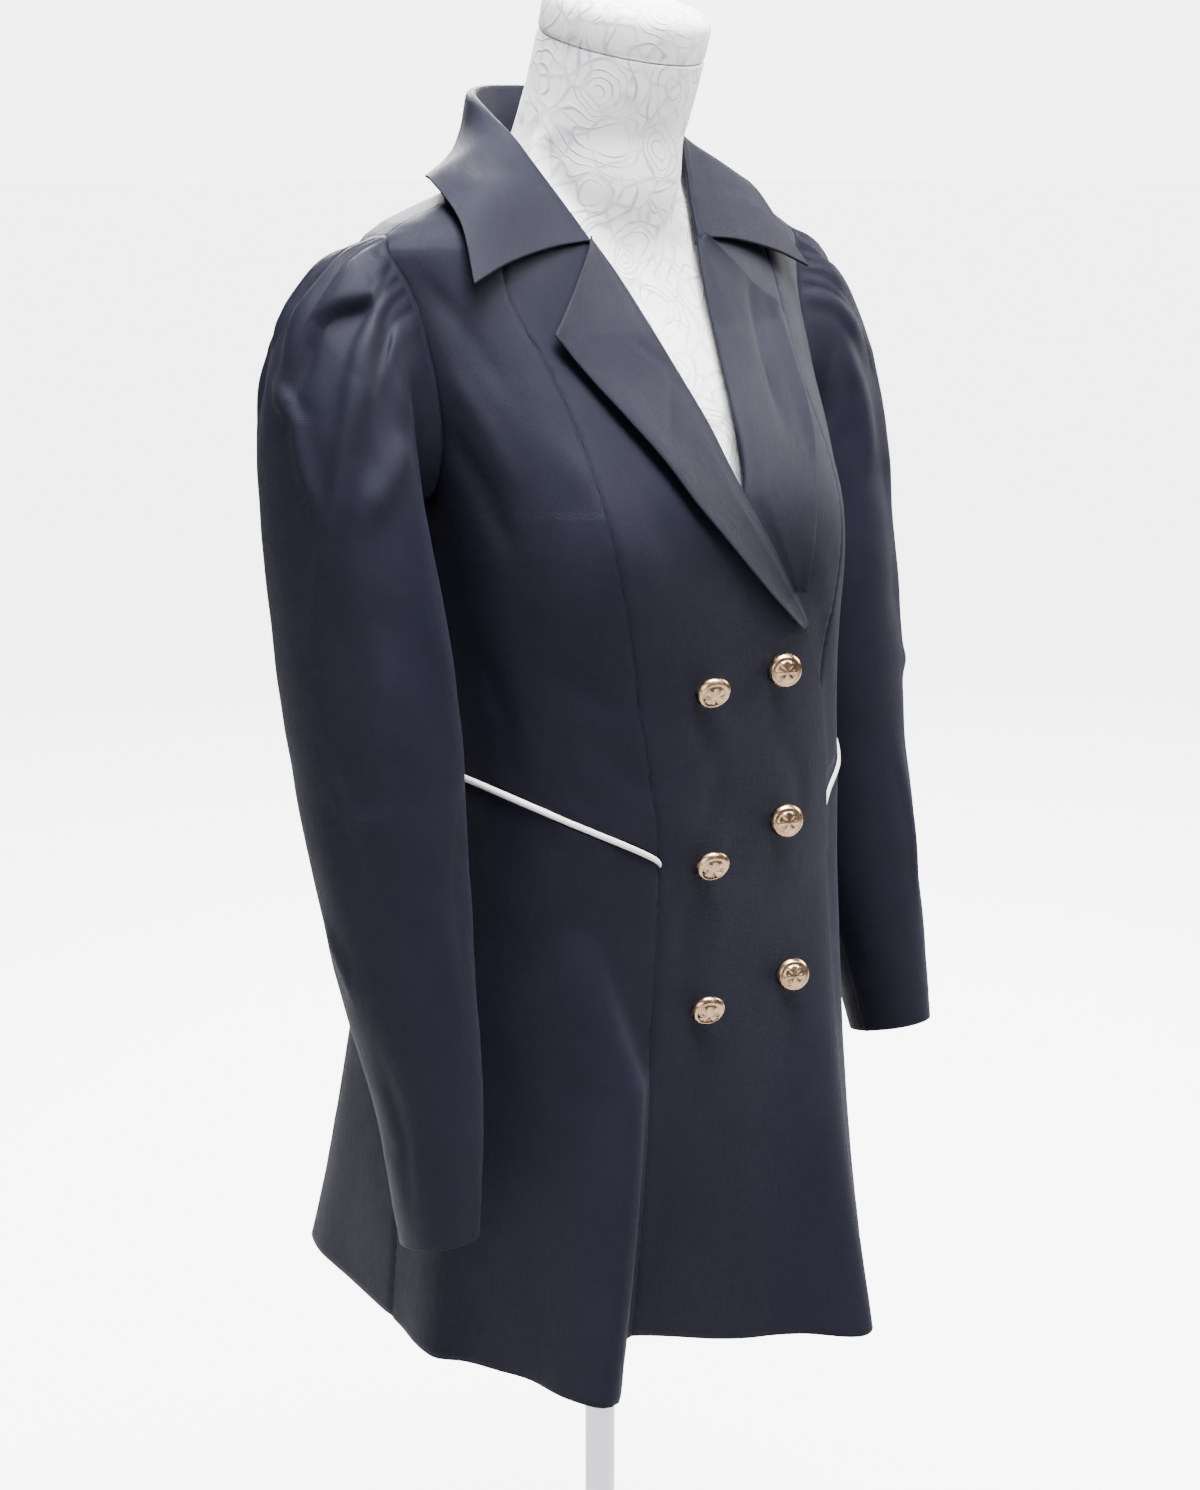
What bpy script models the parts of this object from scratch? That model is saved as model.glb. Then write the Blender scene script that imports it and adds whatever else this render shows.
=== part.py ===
"""Longline double-breasted jacket worn by a limbless dress form on a pole and round base.

Metres. +Z is up, -Y is the front, +X is the wearer's left. The origin is on the floor under the pole.
A turn is an angle round the body: 0 at the centre front, +90 at the wearer's left side, 180 at the back.
"""

import math
from bisect import bisect_right
from collections import namedtuple

import bmesh
import bpy
from mathutils import Matrix, Vector

# Cloth and seams
CLOTH = 0.0016
SEAM = 0.0003
RIGHT, LEFT = -1, 1

# Heights
HEM = 0.585
WAIST_SEAM = 0.940
SIDE_RISE = 0.056
BREAK = 1.086
SHOULDER_TIP = 1.347
NECK_POINT = 1.391

# Double-breasted front
UNDERLAP = 0.0034
HEM_UNDERLAP = 0.0030
BUTTON_ROWS = (1.056, 0.947, 0.832)
BUTTON_SPREAD = (0.0365, 0.0385, 0.0440)
BUTTON_SHIFT = -0.0025
BUTTON_CLEARANCE = (0.0007, 0.0005, 0.0003)
BUTTON_RADIUS = 0.0122
BUTTON_HEIGHT = 0.0120
BUTTON_SHANK = 0.0045
BUTTON_SHANK_RADIUS = 0.0020
BUTTON_BACK_RADIUS = 0.0090
BUTTON_BACK_RISE = 0.0010
BUTTON_RIM = 0.0022
BUTTON_DROOP = 0.52
BUTTON_LEAN = 0.48
BUTTON_LEAN_LEFT = 0.60

# Armholes: an upright oval in the side view
ARMHOLE_HEIGHT = 1.262
ARMHOLE_RISE = SHOULDER_TIP - ARMHOLE_HEIGHT
ARMHOLE_FRONT = 0.032
ARMHOLE_SKEW = 0.45
ARMHOLE_BACK = 0.054
ARMHOLE_STEPS = 10

# Level cuts through the outer face of the jacket
Section = namedtuple("Section", "height half_width front back squareness")
JACKET_BODY = (
    Section(0.560, 0.209, 0.170, 0.178, 2.2),
    Section(0.585, 0.205, 0.168, 0.172, 2.2),
    Section(0.700, 0.196, 0.163, 0.158, 2.2),
    Section(0.800, 0.185, 0.155, 0.139, 2.5),
    Section(0.900, 0.170, 0.149, 0.117, 3.0),
    Section(0.975, 0.163, 0.147, 0.104, 3.2),
    Section(1.050, 0.163, 0.144, 0.106, 3.1),
    Section(1.120, 0.166, 0.145, 0.112, 2.7),
    Section(1.170, 0.171, 0.140, 0.117, 2.4),
    Section(1.215, 0.178, 0.122, 0.120, 2.3),
    Section(1.260, 0.186, 0.096, 0.119, 2.2),
    Section(1.305, 0.192, 0.069, 0.111, 2.1),
    Section(SHOULDER_TIP, 0.196, 0.043, 0.094, 2.1),
)
JACKET_SHOULDER = (
    Section(SHOULDER_TIP, 0.196, 0.043, 0.094, 2.1),
    Section(1.354, 0.181, 0.0375, 0.090, 2.1),
    Section(1.365, 0.149, 0.0290, 0.085, 2.1),
    Section(1.3745, 0.120, 0.0215, 0.080, 2.1),
    Section(1.3835, 0.095, 0.0145, 0.076, 2.1),
    Section(NECK_POINT, 0.077, 0.010, 0.073, 2.1),
)

# Seam lines as a distance from the centre plane at each height
Line = namedtuple("Line", "height across")
PRINCESS_SEAM = (
    Line(0.560, 0.097),
    Line(0.585, 0.096),
    Line(0.700, 0.092),
    Line(0.820, 0.089),
    Line(0.940, 0.082),
    Line(1.050, 0.094),
    Line(1.120, 0.104),
    Line(1.170, 0.109),
    Line(1.222, 0.112),
    Line(1.260, 0.116),
    Line(1.310, 0.128),
    Line(1.366, 0.121),
    Line(1.400, 0.121),
)
ROLL_LINE = (
    Line(0.820, 0.0875),
    Line(0.960, 0.0875),
    Line(1.020, 0.080),
    Line(1.060, 0.070),
    Line(BREAK, 0.060),
    Line(1.125, 0.032),
    Line(1.183, -0.003),
    Line(1.232, -0.016),
    Line(1.283, -0.030),
    Line(1.321, -0.042),
    Line(1.347, -0.053),
    Line(1.360, -0.057),
    Line(1.375, -0.064),
    Line(1.391, -0.071),
)
LAP_EXTRA = 0.0085
NECK_CUT = 0.013
NECK_CUT_START = 1.334
NECK_CUT_SPAN = 0.020
LAPEL_TOP = 1.343
LAPEL_TIP = 1.284
LAPEL_EDGE = (
    Line(BREAK - 0.004, 0.050),
    Line(1.119, 0.006),
    Line(1.172, -0.046),
    Line(1.208, -0.068),
    Line(1.247, -0.091),
    Line(LAPEL_TIP, -0.111),
    Line(LAPEL_TOP, -0.054),
)
LEFT_LAPEL_EDGE = (
    Line(1.108, -0.050),
    Line(1.125, -0.055),
    Line(1.172, -0.068),
    Line(1.208, -0.081),
    Line(1.247, -0.096),
    Line(LAPEL_TIP, -0.111),
    Line(LAPEL_TOP, -0.054),
)

# Drape of the skirt at the hem against the plain section, faded out towards a height above it
Drape = namedtuple("Drape", "turn across ahead drop top power")
DRAPES = (
    Drape(-180, 0.000, -0.008, 0.000, 0.900, 1.3),
    Drape(-166, -0.004, -0.024, 0.000, 0.900, 1.3),
    Drape(-150, 0.000, -0.004, 0.000, 0.900, 1.3),
    Drape(-134, -0.012, -0.028, 0.000, 0.900, 1.3),
    Drape(-118, -0.005, -0.034, 0.000, 0.900, 1.3),
    Drape(-104, 0.001, -0.016, 0.000, 0.900, 1.3),
    Drape(-90, -0.003, -0.004, 0.000, 0.900, 1.3),
    Drape(-76.6, -0.020, 0.013, 0.000, 0.900, 1.3),
    Drape(-71, -0.012, 0.018, 0.000, 0.900, 1.3),
    Drape(-65.7, -0.010, 0.026, 0.000, 0.900, 1.3),
    Drape(-60, -0.010, 0.036, 0.000, 0.900, 1.3),
    Drape(-52.4, -0.021, 0.053, 0.000, 0.900, 1.2),
    Drape(-46, -0.024, 0.066, 0.000, 0.900, 1.1),
    Drape(-42.4, -0.017, 0.059, 0.000, 0.900, 1.1),
    Drape(-35, -0.010, 0.010, 0.000, 0.860, 1.2),
    Drape(-30, -0.006, -0.010, 0.000, 0.840, 1.4),
    Drape(-24, -0.005, -0.014, 0.000, 0.840, 1.5),
    Drape(-9.5, -0.012, 0.007, 0.007, 0.860, 1.4),
    Drape(7.9, -0.030, 0.038, 0.013, 0.880, 1.4),
    Drape(23, -0.040, 0.080, 0.018, 0.900, 1.4),
    Drape(35, -0.042, 0.065, 0.012, 0.900, 1.4),
    Drape(47, -0.030, 0.040, 0.006, 0.900, 1.4),
    Drape(60, -0.020, 0.016, 0.000, 0.900, 1.4),
    Drape(75, -0.005, -0.004, 0.000, 0.900, 1.3),
    Drape(90, 0.003, -0.004, 0.000, 0.900, 1.3),
    Drape(104, -0.001, -0.016, 0.000, 0.900, 1.3),
    Drape(118, 0.005, -0.034, 0.000, 0.900, 1.3),
    Drape(134, 0.012, -0.028, 0.000, 0.900, 1.3),
    Drape(150, 0.000, -0.004, 0.000, 0.900, 1.3),
    Drape(166, 0.004, -0.024, 0.000, 0.900, 1.3),
    Drape(180, 0.000, -0.008, 0.000, 0.900, 1.3),
)
FLUTE_TURN = -44
FLUTE_SPAN = 44
FLUTE_LEAN = 62
FLUTE_SHARE = 0.74
FLUTE_CROWD = 1.6
BUST_TURN = 38
BUST_SPAN = 25
BUST_HEIGHT = 1.150
BUST_DROP = 0.070
BUST_RISE = 0.010

# Rings of a sleeve, outward from the centre plane, then its gathers
Ring = namedtuple("Ring", "outer_across outer_height inner_across inner_height forward breadth yaw slope")
SLEEVE_RINGS = (
    Ring(0.213, 1.339, 0.191, 1.173, -0.006, 0.046, 0, 0.00),
    Ring(0.233, 1.322, 0.187, 1.162, -0.007, 0.055, 0, 0.00),
    Ring(0.254, 1.294, 0.181, 1.149, -0.007, 0.060, 0, 0.00),
    Ring(0.268, 1.250, 0.177, 1.128, -0.003, 0.064, 0, 0.00),
    Ring(0.2745, 1.195, 0.175, 1.100, 0.002, 0.067, 0, 0.02),
    Ring(0.277, 1.130, 0.174, 1.062, 0.010, 0.068, 0, 0.05),
    Ring(0.279, 1.050, 0.176, 1.010, 0.022, 0.065, 0, 0.10),
    Ring(0.2785, 0.960, 0.182, 0.945, 0.039, 0.056, 4, 0.15),
    Ring(0.2745, 0.870, 0.191, 0.866, 0.059, 0.049, 8, 0.20),
    Ring(0.268, 0.785, 0.203, 0.783, 0.082, 0.040, 12, 0.25),
    Ring(0.2655, 0.705, 0.2185, 0.703, 0.0965, 0.033, 14, 0.30),
)
GATHERS = 7
GATHER_SPREAD = 78
GATHER_DEPTH = 0.0042
GATHER_PEAK = 1.6
GATHER_END = 5.0
CROWN_COLUMNS = 22
UNDER_COLUMNS = 9
LEFT_CUFF_RISE = 0.009
LEFT_TUCK = 0.004
SLEEVE_SEAT = 0.0010

# Collar stations from the right front end round the back to the centre back
Station = namedtuple(
    "Station",
    "turn seam_out seam_forward seam_up fold_out fold_forward fold_up edge_out edge_forward edge_up bow",
)
COLLAR_HALF = (
    Station(0.00, 0.0530, 0.041, 1.3400, 0.0530, 0.043, 1.3450, 0.1600, 0.0525, 1.3200, 0.0050),
    Station(0.12, 0.0620, 0.027, 1.3610, 0.0610, 0.028, 1.3675, 0.1500, 0.030, 1.3530, 0.012),
    Station(0.24, 0.0695, 0.014, 1.3800, 0.0705, 0.015, 1.3880, 0.1480, 0.010, 1.3730, 0.008),
    Station(0.36, 0.0735, 0.001, 1.3930, 0.0785, 0.001, 1.4080, 0.1440, -0.008, 1.3830, 0.003),
    Station(0.48, 0.0735, -0.018, 1.3940, 0.0800, -0.018, 1.4220, 0.1330, -0.026, 1.3830, -0.002),
    Station(0.60, 0.0700, -0.038, 1.3950, 0.0745, -0.041, 1.4340, 0.1080, -0.047, 1.3820, -0.004),
    Station(0.74, 0.0550, -0.058, 1.3960, 0.0570, -0.062, 1.4400, 0.0780, -0.074, 1.3780, -0.004),
    Station(0.87, 0.0310, -0.071, 1.3960, 0.0320, -0.077, 1.4430, 0.0430, -0.0885, 1.3700, -0.002),
    Station(1.00, 0.0000, -0.075, 1.3960, 0.0000, -0.082, 1.4440, 0.0000, -0.0935, 1.3680, 0.000),
)
COLLAR_STATIONS = 24
FOLD_RADIUS = 0.0022
LEFT_FLATTER = 0.6

# Dress form, pole and base
FormSection = namedtuple("FormSection", "height half_width front back squareness neck centre tilt")
FORM_BODY = (
    FormSection(0.745, 0.148, 0.090, 0.098, 2.1, 0.0, 0.0, 0),
    FormSection(0.752, 0.156, 0.096, 0.104, 2.1, 0.0, 0.0, 0),
    FormSection(0.800, 0.166, 0.103, 0.112, 2.1, 0.0, 0.0, 0),
    FormSection(0.860, 0.156, 0.101, 0.104, 2.2, 0.0, 0.0, 0),
    FormSection(0.920, 0.138, 0.094, 0.092, 2.2, 0.0, 0.0, 0),
    FormSection(0.985, 0.122, 0.088, 0.083, 2.2, 0.0, 0.0, 0),
    FormSection(1.050, 0.132, 0.097, 0.088, 2.2, 0.0, 0.0, 0),
    FormSection(1.110, 0.143, 0.114, 0.095, 2.3, 0.0, 0.0, 0),
    FormSection(1.160, 0.152, 0.124, 0.101, 2.2, 0.0, 0.0, 0),
    FormSection(1.210, 0.162, 0.112, 0.107, 2.1, 0.0, 0.0, 0),
    FormSection(1.260, 0.174, 0.088, 0.108, 2.1, 0.0, 0.0, 0),
    FormSection(1.305, 0.182, 0.058, 0.101, 2.1, 0.034, 0.0, 0),
    FormSection(1.337, 0.184, 0.037, 0.089, 2.1, 0.041, 0.0, 0),
)
FORM_SHOULDER = (
    FormSection(1.3513, 0.181, 0.0300, 0.0860, 2.1, 0.0460, 0.0, 0),
    FormSection(1.3623, 0.149, 0.0225, 0.0810, 2.1, 0.0505, 0.0, 0),
    FormSection(1.3718, 0.120, 0.0155, 0.0755, 2.1, 0.0535, 0.0, 0),
    FormSection(1.3808, 0.0945, 0.0110, 0.0700, 2.1, 0.0552, 0.0, 0),
    FormSection(1.3885, 0.0700, 0.0100, 0.0640, 2.1, 0.0560, 0.0, 0),
)
FORM_NECK = (
    FormSection(1.402, 0.0600, 0.0100, 0.0580, 2.1, 0.0565, 0.000, 0),
    FormSection(1.412, 0.050, 0.020, 0.050, 2.1, 0.0568, -0.001, 3),
    FormSection(1.428, 0.040, 0.020, 0.040, 2.0, 0.0570, -0.006, 8),
    FormSection(1.448, 0.020, 0.020, 0.020, 2.0, 0.0565, -0.013, 13),
    FormSection(1.468, 0.020, 0.020, 0.020, 2.0, 0.0560, -0.020, 16),
)
FORM_COLUMNS = 36
CAP_RADIUS = 0.0570
CAP_THICKNESS = 0.032
POLE_RADIUS = 0.0120
FLANGE_RADIUS = 0.045
FLANGE_THICKNESS = 0.006
COLLAR_RADIUS = 0.020
COLLAR_HEIGHT = 0.045
BASE_RADIUS = 0.165
BASE_THICKNESS = 0.010


# Colours: red, green, blue, roughness, metallic
CLOTH_FINISH = ("navy_sateen", (0.012, 0.013, 0.024), 0.45, 0.0)
PIPING_FINISH = ("white_piping", (0.72, 0.68, 0.68), 0.50, 0.0)
BUTTON_FINISH = ("gold_button", (0.72, 0.50, 0.30), 0.25, 1.0)
COVER_FINISH = ("form_cover", (0.80, 0.80, 0.80), 0.70, 0.0)
STAND_FINISH = ("stand_paint", (0.75, 0.75, 0.78), 0.40, 0.0)


def remove_everything():
    for item in list(bpy.data.objects):
        bpy.data.objects.remove(item, do_unlink=True)


def material(finish):
    name, colour, roughness, metallic = finish
    found = bpy.data.materials.get(name)
    if found:
        return found
    made = bpy.data.materials.new(name)
    made.use_nodes = True
    shader = made.node_tree.nodes["Principled BSDF"]
    shader.inputs["Base Color"].default_value = (*colour, 1.0)
    shader.inputs["Roughness"].default_value = roughness
    shader.inputs["Metallic"].default_value = metallic
    return made


def add_object(name, mesh_builder, finish):
    mesh = bpy.data.meshes.new(name)
    mesh_builder.to_mesh(mesh)
    mesh_builder.free()
    mesh.materials.append(material(finish))
    mesh.shade_smooth()
    mesh.set_sharp_from_angle(angle=math.radians(40))
    made = bpy.data.objects.new(name, mesh)
    bpy.context.scene.collection.objects.link(made)
    return made


def smooth_value(knots, values, at):
    """The value at a place between knots, on a smooth curve that stays flat beyond its ends."""
    if at <= knots[0]:
        return values[0]
    if at >= knots[-1]:
        return values[-1]
    low = bisect_right(knots, at) - 1
    high = low + 1

    def slope(index):
        before = max(index - 1, 0)
        after = min(index + 1, len(knots) - 1)
        return (values[after] - values[before]) / (knots[after] - knots[before])

    gap = knots[high] - knots[low]
    t = (at - knots[low]) / gap
    start = (1 + 2 * t) * (1 - t) ** 2 * values[low] + t * (1 - t) ** 2 * gap * slope(low)
    end = t * t * (3 - 2 * t) * values[high] + t * t * (t - 1) * gap * slope(high)
    return start + end


def smooth_row(table, at):
    """A row of a table at any place of its first column."""
    knots = [row[0] for row in table]
    columns = list(zip(*table))
    return type(table[0])(at, *(smooth_value(knots, column, at) for column in columns[1:]))


def smooth_step(t):
    t = min(max(t, 0.0), 1.0)
    return t * t * (3 - 2 * t)


def jacket_section(height):
    table = JACKET_BODY if height <= SHOULDER_TIP else JACKET_SHOULDER
    return smooth_row(table, height)


def ring_point(section, turn):
    """A plan point on a rounded oval whose front and back have their own depths."""
    power = 2 / section.squareness
    side, ahead = math.sin(math.radians(turn)), math.cos(math.radians(turn))
    depth = section.front if ahead > 0 else section.back
    x = section.half_width * math.copysign(abs(side) ** power, side)
    y = -depth * math.copysign(abs(ahead) ** power, ahead)
    return x, y


def plan_normal(section, turn):
    x, y = ring_point(section, turn)
    depth = section.front if y < 0 else section.back
    grade = section.squareness - 1
    across = math.copysign(abs(x / section.half_width) ** grade / section.half_width, x)
    along = math.copysign(abs(y / depth) ** grade / depth, y)
    return Vector((across, along, 0)).normalized()


def turn_at_across(section, across):
    share = min(abs(across) / section.half_width, 1.0)
    return math.copysign(math.degrees(math.asin(share ** (section.squareness / 2))), across)


def turn_at_forward(section, forward, side):
    depth = section.front if forward > 0 else section.back
    share = min(abs(forward) / depth, 1.0) ** (section.squareness / 2)
    return side * math.degrees(math.acos(math.copysign(share, forward)))


def wrapped(angle):
    return (angle + 180) % 360 - 180


def drape_at(turn, height):
    """The drape's row. The deep flute beside the right princess seam leans towards it as it rises."""
    lean = flute_lean(height)
    away = turn - FLUTE_TURN - lean
    lean *= 1 - smooth_step(abs(away) / (FLUTE_SPAN if away < 0 else FLUTE_SPAN / 2))
    return smooth_row(DRAPES, wrapped(turn - lean))


def jacket_point(turn, height):
    """A point of the jacket's outer face, with its bust shaping and its drape."""
    section = jacket_section(height)
    x, y = ring_point(section, turn)
    place = Vector((x, y, height))
    drape = drape_at(turn, height)
    if height < drape.top:
        share = ((drape.top - height) / (drape.top - HEM)) ** drape.power
        place += Vector((drape.across, -drape.ahead, -drape.drop)) * share
    if abs(height - BUST_HEIGHT) < 2.5 * BUST_DROP:
        outward = plan_normal(section, turn)
        for side in (RIGHT, LEFT):
            across = wrapped(turn - side * BUST_TURN) / BUST_SPAN
            up = (height - BUST_HEIGHT) / BUST_DROP
            place += outward * BUST_RISE * math.exp(-across * across - up * up)
    return place


def jacket_normal(turn, height):
    turn_step, height_step = 0.6, 0.006
    around = jacket_point(turn + turn_step, height) - jacket_point(turn - turn_step, height)
    up = jacket_point(turn, height + height_step) - jacket_point(turn, height - height_step)
    return around.cross(up).normalized()


def turn_on(table, height, side=1):
    """The turn of a seam line given as a distance from the centre plane."""
    across = smooth_row(table, height).across
    return turn_at_across(jacket_section(height), side * across)


def princess_turn(height, side):
    return turn_on(PRINCESS_SEAM, height, side)


def edge_across(height):
    """The right front's free edge and roll line, cut back at the top where the collar is sewn in."""
    cut = NECK_CUT * smooth_step((height - NECK_CUT_START) / NECK_CUT_SPAN)
    across = smooth_row(ROLL_LINE, height).across - cut
    return max(across, 0.004 - jacket_section(height).half_width)


def lap_across(height):
    """The edge of the right front, which laps a little past the left one's share below the break."""
    return edge_across(height) + LAP_EXTRA * smooth_step((BREAK - height) / 0.060)


def front_edge_turn(height, side):
    """The free edge of a front. The right front's lies on the wearer's left, the left front's on the right."""
    across = lap_across(height) if side == RIGHT else edge_across(height)
    return turn_at_across(jacket_section(height), -side * across)


def armhole_heights():
    """Heights of the armhole's corners, from its lowest point to its highest."""
    steps = [math.pi * i / ARMHOLE_STEPS for i in range(ARMHOLE_STEPS + 1)]
    return [ARMHOLE_HEIGHT - ARMHOLE_RISE * math.cos(a) for a in steps]


def armhole_turn(height, side, facing):
    """The armhole's front edge where facing is 1 and its back edge where it is -1, or the side seam."""
    share = (height - ARMHOLE_HEIGHT) / ARMHOLE_RISE
    if abs(share) >= 0.99999:
        return side * 90
    reach = math.sqrt(1 - share * share)
    reach *= ARMHOLE_FRONT * (1 - ARMHOLE_SKEW * share) if facing == 1 else ARMHOLE_BACK
    return turn_at_forward(jacket_section(height), facing * reach, side)


SKIRT_ROWS = [HEM + (WAIST_SEAM - HEM) * i / 9 for i in range(10)]
BODICE_ROWS = [0.985, 1.030, BREAK, 1.125, 1.155]
ARMHOLE_ROWS = armhole_heights()
SHOULDER_ROWS = [1.354, 1.365, 1.3745, 1.3835, NECK_POINT - 0.002]
UPPER_ROWS = [WAIST_SEAM, *BODICE_ROWS, *ARMHOLE_ROWS, *SHOULDER_ROWS]
ALL_ROWS = [*SKIRT_ROWS[:-1], *UPPER_ROWS]


def slanted(height, share):
    """Row heights rise with share towards the side, where the waist seam is highest."""
    share = 0.5 * share**0.6 + 0.5 * (1 - (1 - share) ** 2)
    if height <= WAIST_SEAM:
        fade = smooth_step((height - HEM - 0.05) / (WAIST_SEAM - HEM - 0.05))
    else:
        fade = 1 - smooth_step((height - WAIST_SEAM) / (BREAK + 0.05 - WAIST_SEAM))
    return height + SIDE_RISE * share * fade


def closed_wall(name, outer, inner, finish, tube=False):
    """A cloth wall between two lattices of points, with rows upward and columns to the wearer's left."""
    build = bmesh.new()
    layers = [[[build.verts.new(p) for p in row] for row in layer] for layer in (outer, inner)]
    rows, columns = len(outer), len(outer[0])
    spans = columns if tube else columns - 1

    def quad(a, b, c, d):
        build.faces.new((a, b, c, d))

    for i in range(rows - 1):
        for j in range(spans):
            k = (j + 1) % columns
            out, back = layers
            quad(out[i][j], out[i][k], out[i + 1][k], out[i + 1][j])
            quad(back[i][j], back[i + 1][j], back[i + 1][k], back[i][k])
    for j in range(spans):
        k = (j + 1) % columns
        out, back = layers
        quad(out[0][k], out[0][j], back[0][j], back[0][k])
        quad(out[-1][j], out[-1][k], back[-1][k], back[-1][j])
    if not tube:
        for i in range(rows - 1):
            out, back = layers
            quad(out[i][0], out[i + 1][0], back[i + 1][0], back[i][0])
            quad(out[i + 1][-1], out[i][-1], back[i][-1], back[i + 1][-1])
    return add_object(name, build, finish)


def pulled_in(row, gap):
    """A row of points whose two ends are moved in by half a seam gap."""
    first = row[0] + (row[1] - row[0]).normalized() * gap / 2
    last = row[-1] + (row[-2] - row[-1]).normalized() * gap / 2
    return [first, *row[1:-1], last]


def flute_lean(height):
    return FLUTE_LEAN * max(min(height - HEM, 1.5 * (0.92 - height)), 0)


def panel(name, rows, first_turn, last_turn, columns, slant=None, lift=None, crowd=1, ends=(0, 0)):
    """A cloth panel between two seam lines, each a function of height.

    slant(share) lifts a row towards the side and lift(turn, height) moves the cloth in or out. A crowd above 1
    packs columns at the last seam, where they lean with the flute. ends are the gaps under and over the rows.
    """
    outer, inner = [], []
    for height in rows:
        outer_row, inner_row = [], []
        for j in range(columns + 1):
            share = 1 - (1 - j / columns) ** crowd
            level = slanted(height, slant(share)) if slant else height
            if height == rows[0]:
                level += ends[0]
            if height == rows[-1]:
                level -= ends[1]
            start, stop = first_turn(level), last_turn(level)
            turn = start + (stop - start) * share
            if crowd > 1:
                rise = min(share / FLUTE_SHARE, (1 - share) / (1 - FLUTE_SHARE))
                turn += flute_lean(level) * smooth_step(rise)
            normal = jacket_normal(turn, level)
            place = jacket_point(turn, level)
            if lift:
                place += normal * lift(turn, level)
            outer_row.append(place)
            inner_row.append(place - normal * CLOTH)
        outer.append(pulled_in(outer_row, SEAM))
        inner.append(pulled_in(inner_row, SEAM))
    return closed_wall(name, outer, inner, CLOTH_FINISH)


def under(turn, height):
    """The left side of the jacket steps in where the right front lies over it."""
    edge = smooth_row(ROLL_LINE, height).across
    across = ring_point(jacket_section(height), turn)[0]
    depth = UNDERLAP + HEM_UNDERLAP * smooth_step((0.76 - height) / 0.12)
    return -depth * smooth_step((edge + 0.042 - across) / 0.024)


def make_fronts():
    """Both fronts, from the hem to the neck point. The left one runs under the right one."""
    panel(
        "front_right", ALL_ROWS, lambda h: princess_turn(h, RIGHT), lambda h: front_edge_turn(h, RIGHT), 8
    )
    panel(
        "front_left",
        ALL_ROWS,
        lambda h: front_edge_turn(h, LEFT),
        lambda h: princess_turn(h, LEFT),
        9,
        lift=under,
    )


def make_side_fronts():
    """The side fronts above the piped waist seam, and the flared skirts below it."""
    top = [*(height for height in UPPER_ROWS if height < 1.370), 1.370]
    skirt_gap = SEAM / 2
    panel(
        "side_front_right",
        top,
        lambda h: armhole_turn(h, RIGHT, 1),
        lambda h: princess_turn(h, RIGHT),
        10,
        slant=lambda share: 1 - share,
        crowd=FLUTE_CROWD,
        ends=(skirt_gap, 0),
    )
    panel(
        "side_front_left",
        top,
        lambda h: princess_turn(h, LEFT),
        lambda h: armhole_turn(h, LEFT, 1),
        8,
        slant=lambda share: share,
        lift=under,
        ends=(skirt_gap, 0),
    )
    panel(
        "skirt_right",
        SKIRT_ROWS,
        lambda h: -90,
        lambda h: princess_turn(h, RIGHT),
        10,
        slant=lambda share: 1 - share,
        crowd=FLUTE_CROWD,
        ends=(0, skirt_gap),
    )
    panel(
        "skirt_left",
        SKIRT_ROWS,
        lambda h: princess_turn(h, LEFT),
        lambda h: 90,
        8,
        slant=lambda share: share,
        lift=under,
        ends=(0, skirt_gap),
    )


def make_backs():
    panel(
        "back_right",
        ALL_ROWS,
        lambda h: -180,
        lambda h: armhole_turn(h, RIGHT, -1),
        9,
        slant=lambda share: share,
    )
    panel(
        "back_left",
        ALL_ROWS,
        lambda h: armhole_turn(h, LEFT, -1),
        lambda h: 180,
        9,
        slant=lambda share: 1 - share,
    )


def make_piping(side):
    """A narrow round-faced strip along the slanted waist seam, from the princess seam to the side seam."""
    width, proud, gap = 0.0046, 0.0020, (0.0004 if side == RIGHT else 0.0009)
    steps = 10 if side == RIGHT else 8
    profile = [(-1.0, 0.25), (-0.55, 0.85), (0.0, 1.0), (0.55, 0.85), (1.0, 0.25)]
    outer, inner = [], []
    for up, rise in profile:
        outer_row, inner_row = [], []
        for j in range(steps + 1):
            share = 1 - (1 - j / steps) ** FLUTE_CROWD if side == RIGHT else j / steps
            nearer_side = 1 - share if side == RIGHT else share
            seam = slanted(WAIST_SEAM, nearer_side)
            inner_end = princess_turn(seam, side)
            if side == LEFT:
                inner_end = max(inner_end, turn_at_across(jacket_section(seam), lap_across(seam) + 0.003))
            start, stop = sorted((inner_end, side * 90))
            turn = start + (stop - start) * share
            level = seam + up * width / 2
            normal = jacket_normal(turn, level)
            place = jacket_point(turn, level) + normal * (under(turn, level) if side == LEFT else 0)
            outer_row.append(place + normal * (gap + proud * rise))
            inner_row.append(place + normal * gap)
        outer.append(pulled_in(outer_row, 4 * SEAM))
        inner.append(pulled_in(inner_row, 4 * SEAM))
    name = "piping_right" if side == RIGHT else "piping_left"
    closed_wall(name, outer, inner, PIPING_FINISH)


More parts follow.
